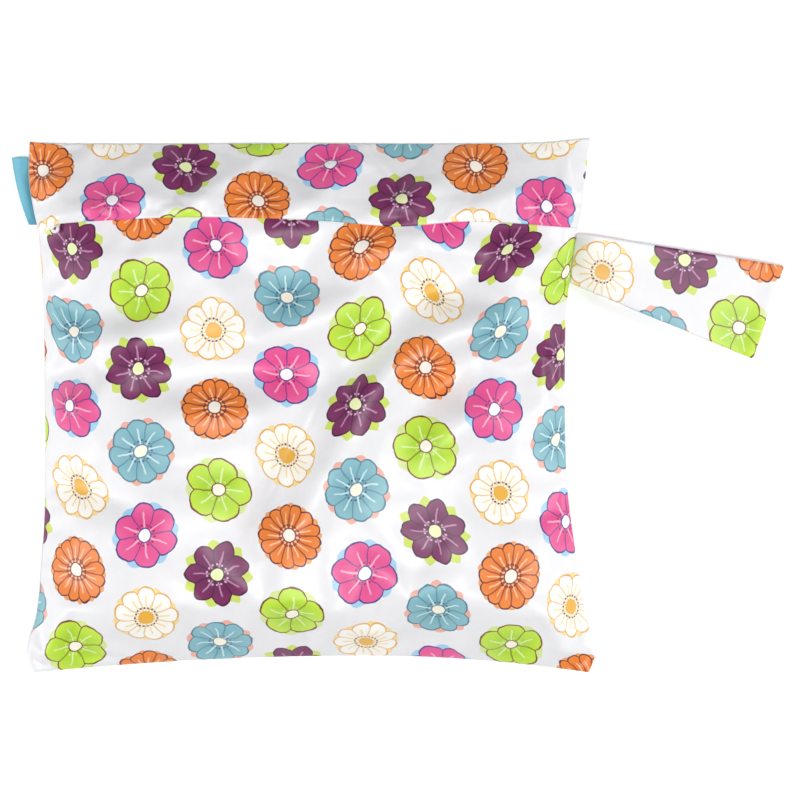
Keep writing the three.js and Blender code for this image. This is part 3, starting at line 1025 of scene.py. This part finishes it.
@dataclass(frozen=True)
class PrintedCloth:
    """White laminated knit with a soft gloss, printed with flowers in a half-drop repeat.

    Sizes are in millimetres. A pair of them is where a soft edge starts and where it ends.

    Attributes:
        ground: Colour of the bare cloth.
        pitch_x, pitch_y: The repeat's pitch.
        line, pressure: Width of a printed outline, and the least share of it and what slow noise adds.
        soft: Width of the printed shapes' soft edges.
        waver, waver_scale: How far the drawing wavers, and the scale of the noise that moves it.
        leaf_depth, leaf_power: Notches of the leaves against the petals': depth, and power of the outline.
        shading: Shares of the radius between which the ink turns from its inner to its outer colour.
        parting, parting_ink: The line between two petals, and its strength.
        vein, vein_end: Half a vein's width, and the shares of the petal's length where it ends.
        heart_line: Width of the outline round the heart.
        dot, dot_ring: A dot's radius, and the radius of the ring of dots against the heart's.
        grain_scale, wash: Scale of the slow noise, and the ink's least brightness and what noise adds.
        knit_x, knit_y: The knit's loops.
        knit_height, knit_strength: Height of the knit's bump in metres, and its strength.
        roughness, sheen, sheen_roughness: The shader's gloss.
    """

    ground: str = "efeff2"
    pitch_x: float = 41.0
    pitch_y: float = 47.0
    line: float = 0.95
    pressure: Pair = (0.55, 0.9)
    soft: float = 0.4
    waver: float = 1.5
    waver_scale: float = 0.11
    leaf_depth: float = 1.25
    leaf_power: float = 0.7
    shading: Pair = (0.25, 0.95)
    parting: Pair = (0.2, 0.55)
    parting_ink: float = 0.75
    vein: Pair = (0.25, 0.65)
    vein_end: Pair = (0.66, 0.74)
    heart_line: float = 0.7
    dot: Pair = (0.45, 0.75)
    dot_ring: float = 1.36
    grain_scale: float = 0.22
    wash: Pair = (0.97, 0.06)
    knit_x: float = 0.9
    knit_y: float = 1.1
    knit_height: float = 0.00003
    knit_strength: float = 0.35
    roughness: float = 0.43
    sheen: float = 0.05
    sheen_roughness: float = 0.5

    def _cell(self, g: Graph, u: Term, v: Term) -> tuple[Term, ...]:
        """Divides the cloth into the repeat's cells: odd columns drop by half a pitch.

        Args:
            g: The material's graph.
            u: Pattern place across, in millimetres.
            v: Pattern place along.

        Returns:
            Column, row, and x and y from the cell's middle.
        """
        across = u / self.pitch_x
        column = g.math("FLOOR", across)
        along = v / self.pitch_y + column % 2.0 * 0.5
        row = g.math("FLOOR", along)
        return column, row, (across - column - 0.5) * self.pitch_x, (along - row - 0.5) * self.pitch_y

    def _chance(self, g: Graph, column: Term, row: Term) -> Term:
        """Draws a fixed number for a cell.

        Args:
            g: The material's graph.
            column: The cell's column.
            row: Its row.

        Returns:
            A number from 0 to 1.
        """
        node = g.node("ShaderNodeTexWhiteNoise")
        node.noise_dimensions = "2D"
        g.feed(node.inputs["Vector"], g.vector(column, row))
        return Term(g, node.outputs["Value"])

    def _across(self, g: Graph, turn: Term, count: Term) -> Term:
        """Returns the place across one of a number of equal parts of a turn, -0.5 to 0.5."""
        return g.math("FRACT", turn * count) - 0.5

    def _sizes(self, g: Graph, kind: Term, *names: str) -> list[Term]:
        """Returns three of the flowers' sizes by the flower's number, carried as one colour's channels."""
        rows = [[getattr(flower, name) / SIZE_LIMITS[name] for name in names] for flower in FLOWERS]
        return [part * SIZE_LIMITS[name] for part, name in zip(g.channels(g.choose(kind, rows)), names)]

    def _ink(self, g: Graph, kind: Term, name: str) -> Socket:
        """Returns one of the flowers' inks by the flower's number."""
        return g.choose(kind, [rgb(getattr(flower, name)) for flower in FLOWERS])

    def _flowers(self, g: Graph, u: Term, v: Term, grain: Term) -> Socket:
        """Paints leaves, outline, petals with veins, heart and a ring of dots, one over another. A petal's
        outline is the radius less a notch: twice the distance from the petal's middle line, in parts of a
        turn, to a power.

        Args:
            g: The material's graph.
            u: Pattern place across, in millimetres.
            v: Pattern place along.
            grain: Slow noise that varies the outline.

        Returns:
            The painted colour.
        """
        column, row, x, y = self._cell(g, u, v)
        kind = (column * 2.0 + row) % float(len(FLOWERS))
        petals, depth, power = self._sizes(g, kind, "petals", "depth", "round")
        radius, rim, heart = self._sizes(g, kind, "radius", "rim", "heart")
        petals = g.math("ROUND", petals)
        reach = g.math("SQRT", x * x + y * y)
        turn = g.math("ARCTAN2", y, x) / TURN + self._chance(g, column, row)
        across = self._across(g, turn, petals)
        edge = radius * (1.0 - depth * abs(across * 2.0) ** power)
        inside = edge - reach
        back_across = self._across(g, turn + 0.5 / petals, petals)
        back_notch = depth * self.leaf_depth * abs(back_across * 2.0) ** (power * self.leaf_power)
        behind = radius * rim * (1.0 - back_notch) - reach
        least, more = self.pressure
        outline = (grain * more + least) * self.line
        span = reach * TURN / petals
        parting = 1.0 - g.step((0.5 - abs(across)) * span, *self.parting)
        vein = (1.0 - g.step(abs(across) * span, *self.vein)) * (1.0 - g.step(reach / edge, *self.vein_end))
        in_heart = heart - reach
        dots, ring = petals * 2.0, heart * self.dot_ring
        sideways = self._across(g, turn, dots) * TURN * ring / dots
        outwards = reach - ring
        dot = 1.0 - g.step(g.math("SQRT", sideways * sideways + outwards * outwards), *self.dot)
        shading = g.step(reach / radius, *self.shading)
        fill = g.mix(shading, self._ink(g, kind, "base"), self._ink(g, kind, "tip"))
        line = self._ink(g, kind, "line")
        layers = (
            (g.step(behind, 0.0, self.soft), self._ink(g, kind, "leaf")),
            (g.step(inside, 0.0, self.soft), line),
            (g.step(inside - outline, 0.0, self.soft), fill),
            (parting * g.step(inside, 0.0, self.soft) * self.parting_ink, line),
            (vein, self._ink(g, kind, "vein")),
            (g.step(in_heart, 0.0, self.soft), line),
            (g.step(in_heart, self.heart_line, self.heart_line + self.soft), self._ink(g, kind, "middle")),
            (dot, self._ink(g, kind, "dot")),
        )
        colour: Colour = (*rgb(self.ground), 1.0)
        for share, ink in layers:
            colour = g.mix(share, colour, ink)
        return colour

    def build(self) -> Material:
        """Builds the cloth: the print on its pattern place over a white ground, and the knit as a bump.

        Returns:
            The new material.
        """
        g = Graph(
            "printed_cloth",
            Roughness=self.roughness,
            Sheen_Weight=self.sheen,
            Sheen_Roughness=self.sheen_roughness,
        )
        u, v = g.pattern()
        place = g.vector(u, v)
        grain = Term(g, g.noise(place, self.grain_scale, detail=3.0, rough=0.6).outputs["Fac"])
        drift = g.channels(g.noise(place, self.waver_scale, detail=2.0).outputs["Color"])
        wavy_u, wavy_v = (flat + (part - 0.5) * (2 * self.waver) for flat, part in zip((u, v), drift))
        least, more = self.wash
        g.paint(self._flowers(g, wavy_u, wavy_v, grain), grain * more + least)
        ribs, loops = g.math("SINE", u * (TURN / self.knit_x)), g.math("SINE", v * (TURN / self.knit_y))
        g.bump(ribs * loops, self.knit_height, self.knit_strength)
        return g.material


@dataclass(frozen=True)
class WovenTape:
    """Fine woven ribbon: ribs across it and a slight sheen.

    Attributes:
        name: Name of the finish.
        colour: Its colour.
        rib: Pitch of the ribs in millimetres.
        roughness, sheen: The shader's gloss.
        shade: Least brightness, and what slow noise and the weave add to it.
        noise_scale: Scale of the noise.
        height, strength: Height of the weave's bump in metres, and its strength.
    """

    name: str
    colour: str
    rib: float
    roughness: float
    sheen: float = 0.25
    shade: Triple = (0.88, 0.2, 0.07)
    noise_scale: float = 160.0
    height: float = 0.00006
    strength: float = 0.7

    def build(self) -> Material:
        """Builds the ribbon on Object coordinates: two crossed waves are the weave, and noise tints it.

        Returns:
            The new material.
        """
        g = Graph(self.name, Roughness=self.roughness, Sheen_Weight=self.sheen)
        place = g.object_place()
        warp, weft = (g.math("SINE", part * (TURN / (self.rib * MM))) for part in g.parts(place)[:2])
        weave = (warp + weft) * 0.5
        noise = Term(g, g.noise(place, self.noise_scale, detail=2.0).outputs["Fac"])
        least, noisy, woven = self.shade
        g.paint((*rgb(self.colour), 1.0), noise * noisy + least + weave * woven)
        g.bump(weave, self.height, self.strength)
        return g.material


@dataclass(frozen=True)
class WhiteNylon:
    """Moulded white nylon: nearly even in colour, with a fine grain and a soft gloss.

    Attributes:
        colour: Its colour.
        roughness: The shader's gloss.
        shade: Least brightness, and what the grain adds to it.
        grain_scale: Scale of the grain.
        height, strength: Height of the grain's bump in metres, and its strength.
    """

    colour: str = "f3f3f2"
    roughness: float = 0.32
    shade: Pair = (0.95, 0.08)
    grain_scale: float = 900.0
    height: float = 0.00003
    strength: float = 0.4

    def build(self) -> Material:
        """Builds the nylon on Object coordinates: noise varies its tint and gives a slight bump.

        Returns:
            The new material.
        """
        g = Graph("white_nylon", Roughness=self.roughness)
        grain = Term(g, g.noise(g.object_place(), self.grain_scale, detail=3.0).outputs["Fac"])
        least, more = self.shade
        g.paint((*rgb(self.colour), 1.0), grain * more + least)
        g.bump(grain, self.height, self.strength)
        return g.material


def coat(piece: Piece, finish: Material) -> None:
    """Makes a finish a piece's only material, and reports the piece.

    Args:
        piece: A new piece or a CAD node.
        finish: Its material.
    """
    piece.data.materials.clear()
    piece.data.materials.append(finish)
    LOG.info("%s: %d faces in %s", piece.name, len(piece.data.polygons), finish.name)


def dress(piece: Piece, finish: Material, slot: Slot, *nodes: str) -> Piece:
    """Gives a piece its finish and body, and lets it stand for CAD nodes.

    Args:
        piece: The new piece.
        finish: Its material.
        slot: The record's slot; not used.
        nodes: CAD nodes that it replaces.

    Returns:
        The piece.
    """
    coat(piece, finish)
    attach(piece, BODY)
    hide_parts(*nodes)
    return piece


@dataclass
class Panels:
    """The bag's two panels, which meet in a thin edge along the seams.

    Attributes:
        across, along: Points across the bag and along the front panel.
        back: Points each way of the back panel.
        sim_across, sim_along: Points of the front's simulated sheet.
        settling: How the front settles.
        settled_below, settled_fade: Height above which the front doesn't move, and the fade below it.
        free_sideways, free_upwards: Distances from a seam at which it is free to move so.
        seam_thin: Cloth left at the seams' very edge, in millimetres.
        seam_round: Distance over which the cloth thins to the seam.
        flat_share: Share of the back's half width that lies flat.
        lift_bottom, lift_top: Distances from its ends at which the back starts to lift.
        front_print, back_print: Where the panels' patterns start on the printed cloth.
        front_flat, back_flat: The panels' flat sizes in metres.
    """

    across: int = 190
    along: int = 168
    back: int = 110
    sim_across: int = 120
    sim_along: int = 106
    settling: Settling = Settling()
    settled_below: float = 98.0
    settled_fade: float = 14.0
    free_sideways: float = 16.0
    free_upwards: float = 5.0
    seam_thin: float = 0.3
    seam_round: float = 4.5
    flat_share: float = 0.78
    lift_bottom: float = 32.0
    lift_top: float = 24.0
    front_print: Pair = (31.4, -16.2)
    back_print: Pair = (17.0, 9.0)
    front_flat: Pair = (0.318, 0.288)
    back_flat: Pair = (0.318, 0.302)

    def _wall(self, distance: Array) -> Array:
        """Returns the cloth's thickness by the distance from a seam: a quarter circle up to full cloth."""
        away = unit(distance / self.seam_round)
        return lerp(self.seam_thin, FORM.cloth, np.sqrt(1 - (1 - away) ** 2))[..., None]

    def _from_seams(self, s: Array, t: Array, top: bool) -> Array:
        """Measures the distance in plan from the nearest seam.

        Args:
            s: Place across, 0 to 1.
            t: Place along, 0 to 1.
            top: Whether the top edge counts as a seam.

        Returns:
            Distances in millimetres.
        """
        x, y = FORM.plan(s, t)
        left, right = FORM.sides(t)
        bottom, high = FORM.ends(s)
        near = np.minimum(np.minimum(x - left, right - x), y - bottom)
        return np.minimum(near, high - y) if top else near

    def _front_grid(self, across: int, along: int) -> tuple[Array, Array, Array]:
        """Lays a grid over the front's inner face, from the bottom seam up to the zip.

        Args:
            across: Points across.
            along: Points along.

        Returns:
            Its s, its t and its points.
        """
        s = finer_ends(across)[:, None] + np.zeros((1, along))
        t = finer_start(along)[None, :] * FORM.t_at(s, FORM.front_top_y)
        return s, t, FORM.points(s, t, FORM.inner_z(s, t))

    def _settled(self) -> Array:
        """Settles the front on a coarser grid, and lets the moves fade towards the seams and the zip.

        Returns:
            How far each of the front's points moves, in millimetres.
        """
        s, t, start = self._front_grid(self.sim_across, self.sim_along)
        coarse = (self.settling.run(start), self._from_seams(s, t, top=False), start[..., 1])
        moved, near, y = (refined(grid, self.across, self.along) for grid in coarse)
        clear = unit((self.settled_below - y) / self.settled_fade)
        sideways, upwards = clear * unit(near / self.free_sideways), clear * unit(near / self.free_upwards)
        return moved * np.stack([sideways, sideways, upwards], axis=-1)

    def front(self, cloth: Material) -> Piece:
        """Builds the front panel: the swelled inner face, and the outer face a cloth's thickness off it.

        Args:
            cloth: Its finish.

        Returns:
            The dressed piece.
        """
        s, t, inner = self._front_grid(self.across, self.along)
        inner = inner + self._settled()
        outer = inner + normals_of(inner) * self._wall(self._from_seams(s, t, top=False))
        sheet = ClosedSheet("front_cloth", outer, inner, pattern_uv(outer, self.front_print))
        piece = dress(sheet.build(), cloth, Slot.CLOTH, "front_panel")
        return piece

    def back_piece(self, cloth: Material) -> Piece:
        """Builds the back panel: flat on the floor, and lifted by a square of the closeness to each seam.

        Args:
            cloth: Its finish.

        Returns:
            The dressed piece.
        """
        places = finer_ends(self.back)
        s, t = np.meshgrid(places, places, indexing="ij")
        _, y = FORM.plan(s, t)
        bottom, top = FORM.ends(s)
        side = unit((np.abs(2 * s - 1) - self.flat_share) / (1 - self.flat_share)) ** 2
        low = unit(1 - (y - bottom) / self.lift_bottom) ** 2
        high = unit(1 - (top - y) / self.lift_top) ** 2
        lift = FORM.edge_lift * (1 - (1 - side) * (1 - low) * (1 - high))
        upper = FORM.points(s, t, lift + FORM.cloth)
        lower = upper - np.array([0, 0, 1.0]) * self._wall(self._from_seams(s, t, top=True))
        sheet = ClosedSheet("back_cloth", upper, lower, pattern_uv(upper, self.back_print))
        piece = dress(sheet.build(), cloth, Slot.CLOTH, "back_panel")
        return piece


@dataclass
class TopBand:
    """The band over the zip: one layer down to the lap's edge, turned back under itself as a hem.

    Attributes:
        across: Points across the bag.
        down: Points from the top edge to the lap's edge.
        turn: Points round the hem's fold.
        under: Points along the turned hem.
        layer: Thickness of one layer, in millimetres.
        hem_fade: Distance over which the lap thins above its hem.
        hem_short: How much less deep than the CAD's hem the turned layer is.
        settling: How the band settles.
        least_move: Least moves in x, y and z as it settles: it doesn't sink into the zip.
        print_at: Where its pattern starts on the printed cloth.
        flat: Its flat size in metres.
    """

    across: int = 190
    down: int = 44
    turn: int = 7
    under: int = 12
    layer: float = 0.8
    hem_fade: float = 4.0
    hem_short: float = 4.5
    settling: Settling = Settling(excess=0.025, cap=3.0)
    least_move: Triple = (-9.0, -9.0, 0.0)
    print_at: Pair = (50.0, 31.0)
    flat: Pair = (0.318, 0.062)

    def build(self, cloth: Material) -> Piece:
        """Builds the band as a strip whose middle line runs down the lap, round a half circle at its edge
        and back up under the lap for the hem's depth, with half a layer on either side of it.

        Args:
            cloth: Its finish.

        Returns:
            The dressed piece.
        """
        s = finer_ends(self.across)[:, None]
        lap_x, _ = FORM.plan(s, FORM.t_at(s, FORM.chain_y))
        lap_y = read(FORM.lap_edge, "at", "y", lap_x)
        t = lerp(FORM.t_at(s, lap_y), 1.0, 1 - finer_start(self.down, share=0.5)[None, :])
        s_down = s + np.zeros_like(t)
        _, y = FORM.plan(s_down, t)
        hem = unit((lap_y + FORM.hem_depth - y) / self.hem_fade)
        top_z = FORM.lap_z(s_down, t) + lerp(FORM.cloth, FORM.hem_thick, hem)
        middle = FORM.points(s_down, t, top_z - self.layer / 2)
        middle = middle + np.maximum(self.settling.run(middle), self.least_move)
        radius = (FORM.hem_thick - self.layer) / 2
        angle = half_turn(self.turn)
        bend = middle[:, -1:] + radius * np.stack([0 * angle, -np.sin(angle), np.cos(angle) - 1], axis=-1)
        t_under = FORM.t_at(s, lap_y + np.linspace(0, FORM.hem_depth - self.hem_short, self.under)[None, :])
        s_under = s + np.zeros_like(t_under)
        under = FORM.points(s_under, t_under, FORM.lap_z(s_under, t_under) + self.layer / 2)
        line = np.concatenate([middle, bend, under], axis=1)[:, ::-1]
        outer, inner = faces_of(line, self.layer)
        uv = pattern_uv(line[:, ::-1], self.print_at)[:, ::-1]
        sheet = ClosedSheet("top_band_cloth", outer, inner, uv)
        piece = dress(sheet.build(), cloth, Slot.CLOTH, "top_band")
        return piece


@dataclass
class HandStrap:
    """The strap: a strip folded in half at its far end, with both ends in the right seam.

    Sizes are in millimetres.

    Attributes:
        line: The strip's line in side view, from the upper root round the fold to the lower root.
        root_low, root_high: Heights of its root along the seam.
        end_low, end_high: Ends of its fold in plan.
        length: Length of its line in side view.
        root_gap: Space between the seam and the root.
        thick, edge_thick, edge_round: Thickness, that at its edges, and how far from them it thins.
        pleats, pleat_height: Number and height of the pleats at the root.
        pleat_reach, pleat_sewn: Distances from the root where they end, and where they are in full.
        shoulder, shoulder_power: Rise of the upper layer beside the bag, and its power across the strip.
        shoulder_start, shoulder_reach: Distances over which it rises, and falls off.
        fold_fade: Share of the strip over which it ends towards the fold.
        along, across: Points along and across the strip.
        rim_rows: Rows of points round its edge.
        print_at: Where its pattern starts on the printed cloth.
        flat, flat_area: Its flat size and area in metres.
    """

    line: tuple[Pair, ...] = (
        *((0, 3.85), (26, 5.6), (62, 8.4), (96, 10.2), (109, 8.8), (113, 5.2)),
        *((107, 1.5), (88, 0.72), (46, 0.72), (18, 1.4), (0, 2.45)),
    )
    root_low: float = 68.8
    root_high: float = 96.2
    end_low: Pair = (249.0, 26.6)
    end_high: Pair = (265.9, 77.6)
    length: float = 113.0
    root_gap: float = 1.1
    thick: float = 1.1
    edge_thick: float = 0.8
    edge_round: float = 1.2
    pleats: float = 1.5
    pleat_height: float = 1.3
    pleat_reach: float = 70.0
    pleat_sewn: float = 10.0
    shoulder: float = 3.4
    shoulder_power: float = 0.8
    shoulder_start: float = 4.0
    shoulder_reach: float = 34.0
    fold_fade: float = 0.1
    along: int = 190
    across: int = 60
    rim_rows: int = 5
    print_at: Pair = (35.5, 11.0)
    flat: Pair = (0.0537, 0.236)
    flat_area: float = 0.0097

    def _raised(self, along: Array, u: Array, v: Array) -> Array:
        """Adds pleats and shoulder to the strip's height: waves across it that fade from the root, and a
        bell curve along the upper layer that grows with a power of v.

        Args:
            along: Distance from the root.
            u: Share of the strip's line.
            v: Share of its width.

        Returns:
            What they add, in millimetres.
        """
        fade = unit(1 - along / self.pleat_reach) ** 2 * unit(along / self.pleat_sewn)
        pleat = self.pleat_height * fade * (0.5 - 0.5 * np.cos(TURN * self.pleats * v))
        upper = unit((0.5 - u) / self.fold_fade) * v**self.shoulder_power
        rise = (1 - np.exp(-along / self.shoulder_start)) * np.exp(-((along / self.shoulder_reach) ** 2))
        return pleat + self.shoulder * upper * rise

    def build(self, cloth: Material) -> Piece:
        """Builds the strip: its line carried between a line of roots along the seam and the fold's line,
        with soft pleats at the root, and half its thickness on either side.

        Args:
            cloth: Its finish.

        Returns:
            The dressed piece.
        """
        u = np.linspace(0, 1, self.along)[:, None]
        v = finer_ends(self.across, share=0.4)[None, :]
        line = along_axis(np.array(self.line, float), self.along)
        along, height = line[:, :1], line[:, 1:]
        share = along / self.length
        root_y = lerp(self.root_low, self.root_high, v)
        root_x = FORM.seam_x(Side.RIGHT, root_y) + self.root_gap
        (low_x, low_y), (high_x, high_y) = self.end_low, self.end_high
        x = lerp(root_x, lerp(low_x, high_x, v), share)
        y = lerp(root_y, lerp(low_y, high_y, v), share)
        middle = np.stack([x, y, height + self._raised(along, u, v)], axis=-1)
        width = lerp(self.root_high - self.root_low, math.dist(self.end_low, self.end_high), share)
        near = unit(np.minimum(v, 1 - v) * width / self.edge_round)
        thick = lerp(self.edge_thick, self.thick, np.sqrt(1 - (1 - near) ** 2))
        outer, inner = faces_of(middle, thick[..., None])
        sheet = ClosedSheet("strap_cloth", outer, inner, pattern_uv(middle, self.print_at), self.rim_rows)
        piece = dress(sheet.build(), cloth, Slot.CLOTH, "hand_strap")
        return piece


@dataclass
class SideTab:
    """The folded ribbon in the left seam, its two layers pressed together. Sizes are in millimetres.

    Attributes:
        layer: Thickness of one layer.
        between: Space between the layers' middles.
        root_gap: Space between the seam and the root.
        bow: How far the fold bows out in its middle.
        arch: How far the ribbon rises between the seam and the fold.
        twist: How far the fold stands up, and the root dips, at the lower end.
        along, out, turn: Points along the seam, out from it and round the fold.
        flat: Its flat size in metres.
    """

    layer: float = 0.45
    between: float = 0.62
    root_gap: float = 1.1
    bow: float = 1.3
    arch: float = 2.2
    twist: float = 2.2
    along: int = 48
    out: int = 20
    turn: int = 7
    flat: Pair = (0.0385, 0.0165)

    def build(self, ribbon: Material) -> Piece:
        """Builds the ribbon as a strip whose middle line rises in a half wave from the seam out to the
        fold, runs round a half circle there and comes back under itself.

        Args:
            ribbon: Its finish.

        Returns:
            The dressed piece.
        """
        v = np.linspace(0, 1, self.along)[:, None]
        out = np.linspace(0, 1, self.out)[None, :]
        angle = half_turn(self.turn)
        y = lerp(TAB.low, TAB.high, v)
        radius = self.between / 2
        root = FORM.seam_x(Side.LEFT, y) - self.root_gap
        fold = lerp(TAB.fold_low, TAB.fold_high, v) + radius + self.layer / 2 - self.bow * 4 * v * (1 - v)
        turned = self.twist * (1 - v) ** 2
        fold_z = TAB.fold_z + turned
        z = lerp(TAB.root_z - turned, fold_z, out) + self.arch * np.sin(np.pi * out) * np.sin(np.pi / 2 * v)
        x, flat_y = lerp(root, fold, out), y + 0 * out
        upper = np.stack([x, flat_y, z + radius], axis=-1)
        lower = np.stack([x, flat_y, z - radius], axis=-1)[:, ::-1]
        round_z = fold_z + radius * np.cos(angle)
        bend = np.stack([fold - radius * np.sin(angle), y + 0 * angle, round_z], axis=-1)
        line = np.concatenate([upper, bend, lower], axis=1)
        outer, inner = faces_of(line, self.layer)
        sheet = ClosedSheet("side_tab_ribbon", outer, inner, pattern_uv(line, (0.0, 0.0)))
        piece = dress(sheet.build(), ribbon, Slot.RIBBON, "side_tab")
        return piece


@dataclass
class Zip:
    """The zip under the lap: the CAD tapes and coil in their finishes, and a rounded slider and pull.

    Attributes:
        bevel, segments: Radius of the rounding in millimetres, and its steps.
        sharp: Angle in degrees over which an edge is rounded.
        weld: Distance in metres within which the copied triangles' points are joined.
    """

    bevel: float = 0.22
    segments: int = 3
    sharp: float = 40.0
    weld: float = 0.00001

    def _rounded(self, node: str, name: str) -> Piece:
        """Copies a CAD node, joins its points and rounds its edges.

        Args:
            node: The CAD node.
            name: Name of the new piece.

        Returns:
            The new piece.
        """
        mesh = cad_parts[node].data.copy()
        mesh.name = name
        piece = placed(name, mesh)
        piece.modifiers.new("weld", "WELD").merge_threshold = self.weld
        bevel = piece.modifiers.new("round", "BEVEL")
        bevel.width = self.bevel * MM
        bevel.segments = self.segments
        bevel.limit_method = "ANGLE"
        bevel.angle_limit = math.radians(self.sharp)
        return piece

    def build(self, tape: Material, nylon: Material) -> None:
        """Dresses the tapes and the coil, and makes the slider and pull.

        Args:
            tape: Finish of the tapes.
            nylon: Finish of coil, slider and pull.
        """
        for node, finish in (("zip_tape_lower", tape), ("zip_tape_upper", tape), ("zip_chain", nylon)):
            coat(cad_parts[node], finish)
        for node, name in (("zip_slider", "slider_body"), ("zip_pull", "slider_pull")):
            dress(self._rounded(node, name), nylon, Slot.NYLON, node)


@dataclass(frozen=True)
class Lamp:
    """A square lamp that faces the bag: its name, place and size in metres, and power in watts."""

    name: str
    place: Triple
    size: float
    power: float

    def hang(self, aim: Triple) -> None:
        """Hangs the lamp.

        Args:
            aim: The point that it faces.
        """
        data = bpy.data.lights.new(self.name, "AREA")
        data.shape = "SQUARE"
        data.size = self.size
        data.energy = self.power
        lamp = placed(self.name, data)
        lamp.location = self.place
        down = np.array(aim) - np.array(self.place)
        lamp.rotation_euler = Vector(down).to_track_quat("-Z", "Y").to_euler()


@dataclass
class Studio:
    """A pale floor, soft light from all round and a camera straight above. Sizes are in metres.

    Attributes:
        view: Width of the picture on the floor.
        height: Height of the camera.
        aim: The point in the picture's middle.
        sensor: Width of the camera's sensor in millimetres.
        far: How far the camera sees.
        reach, drop: Half the floor's width, and how far it lies below the bag.
        floor_grey, floor_roughness, floor_glow: The floor's colour, gloss and own light.
        surround: Strength of the light from all round.
        lamps: One lamp low on either side, and one near the camera.
    """

    view: float = 0.448
    height: float = 2.6
    aim: Pair = (0.0014, 0.0031)
    sensor: float = 36.0
    far: float = 50.0
    reach: float = 4.0
    drop: float = 0.0002
    floor_grey: float = 0.96
    floor_roughness: float = 0.9
    floor_glow: float = 0.14
    surround: float = 0.05
    lamps: tuple[Lamp, ...] = table(
        Lamp,
        ("left_lamp", (-2.16, -0.38, 0.96), 0.9, 27.0),
        ("right_lamp", (2.18, 0.12, 0.96), 0.9, 27.0),
        ("key_lamp", (0.2, -0.32, 2.95), 0.6, 55.0),
    )

    def floor(self) -> None:
        """Lays a plain pale floor: one square."""
        square = np.array([[-1, -1, 0], [1, -1, 0], [1, 1, 0], [-1, 1, 0]])
        corners = self.reach * square - (0, 0, self.drop)
        floor = mesh_object("floor", corners, np.array([[0, 1, 2, 3]]), corners[:, :2])
        g = Graph(
            "pale_floor",
            Base_Color=(*[self.floor_grey] * 3, 1.0),
            Roughness=self.floor_roughness,
            Emission_Color=WHITE,
            Emission_Strength=self.floor_glow,
        )
        coat(floor, g.material)

    def light(self) -> None:
        """Lights it with a dim white surround and the lamps."""
        world = bpy.data.worlds.new("surround")
        bpy.context.scene.world = world
        world.use_nodes = True
        background = world.node_tree.nodes["Background"]
        background.inputs["Color"].default_value = WHITE
        background.inputs["Strength"].default_value = self.surround
        for lamp in self.lamps:
            lamp.hang((*self.aim, 0.0))

    def camera(self) -> None:
        """Sets the camera straight above, with the bag's top edge upwards in the picture."""
        data = bpy.data.cameras.new("overhead_camera")
        data.sensor_width = self.sensor
        data.lens = self.sensor * self.height / self.view
        data.clip_end = self.far
        camera = placed("overhead_camera", data)
        camera.location = (*self.aim, self.height)
        bpy.context.scene.camera = camera
        bpy.context.scene.view_settings.view_transform = "Standard"


def main() -> None:
    """Builds the pieces in order, then the studio."""
    studio = Studio()
    studio.camera()
    cloth = PrintedCloth().build()
    tape = WovenTape("white_zip_tape", "ececee", rib=0.7, roughness=0.7).build()
    ribbon = WovenTape("turquoise_ribbon", "69bcd4", rib=0.55, roughness=0.3).build()
    nylon = WhiteNylon().build()
    panels = Panels()
    panels.back_piece(cloth)
    panels.front(cloth)
    TopBand().build(cloth)
    HandStrap().build(cloth)
    SideTab().build(ribbon)
    Zip().build(tape, nylon)
    studio.floor()
    studio.light()


if __name__ == "__main__":
    main()
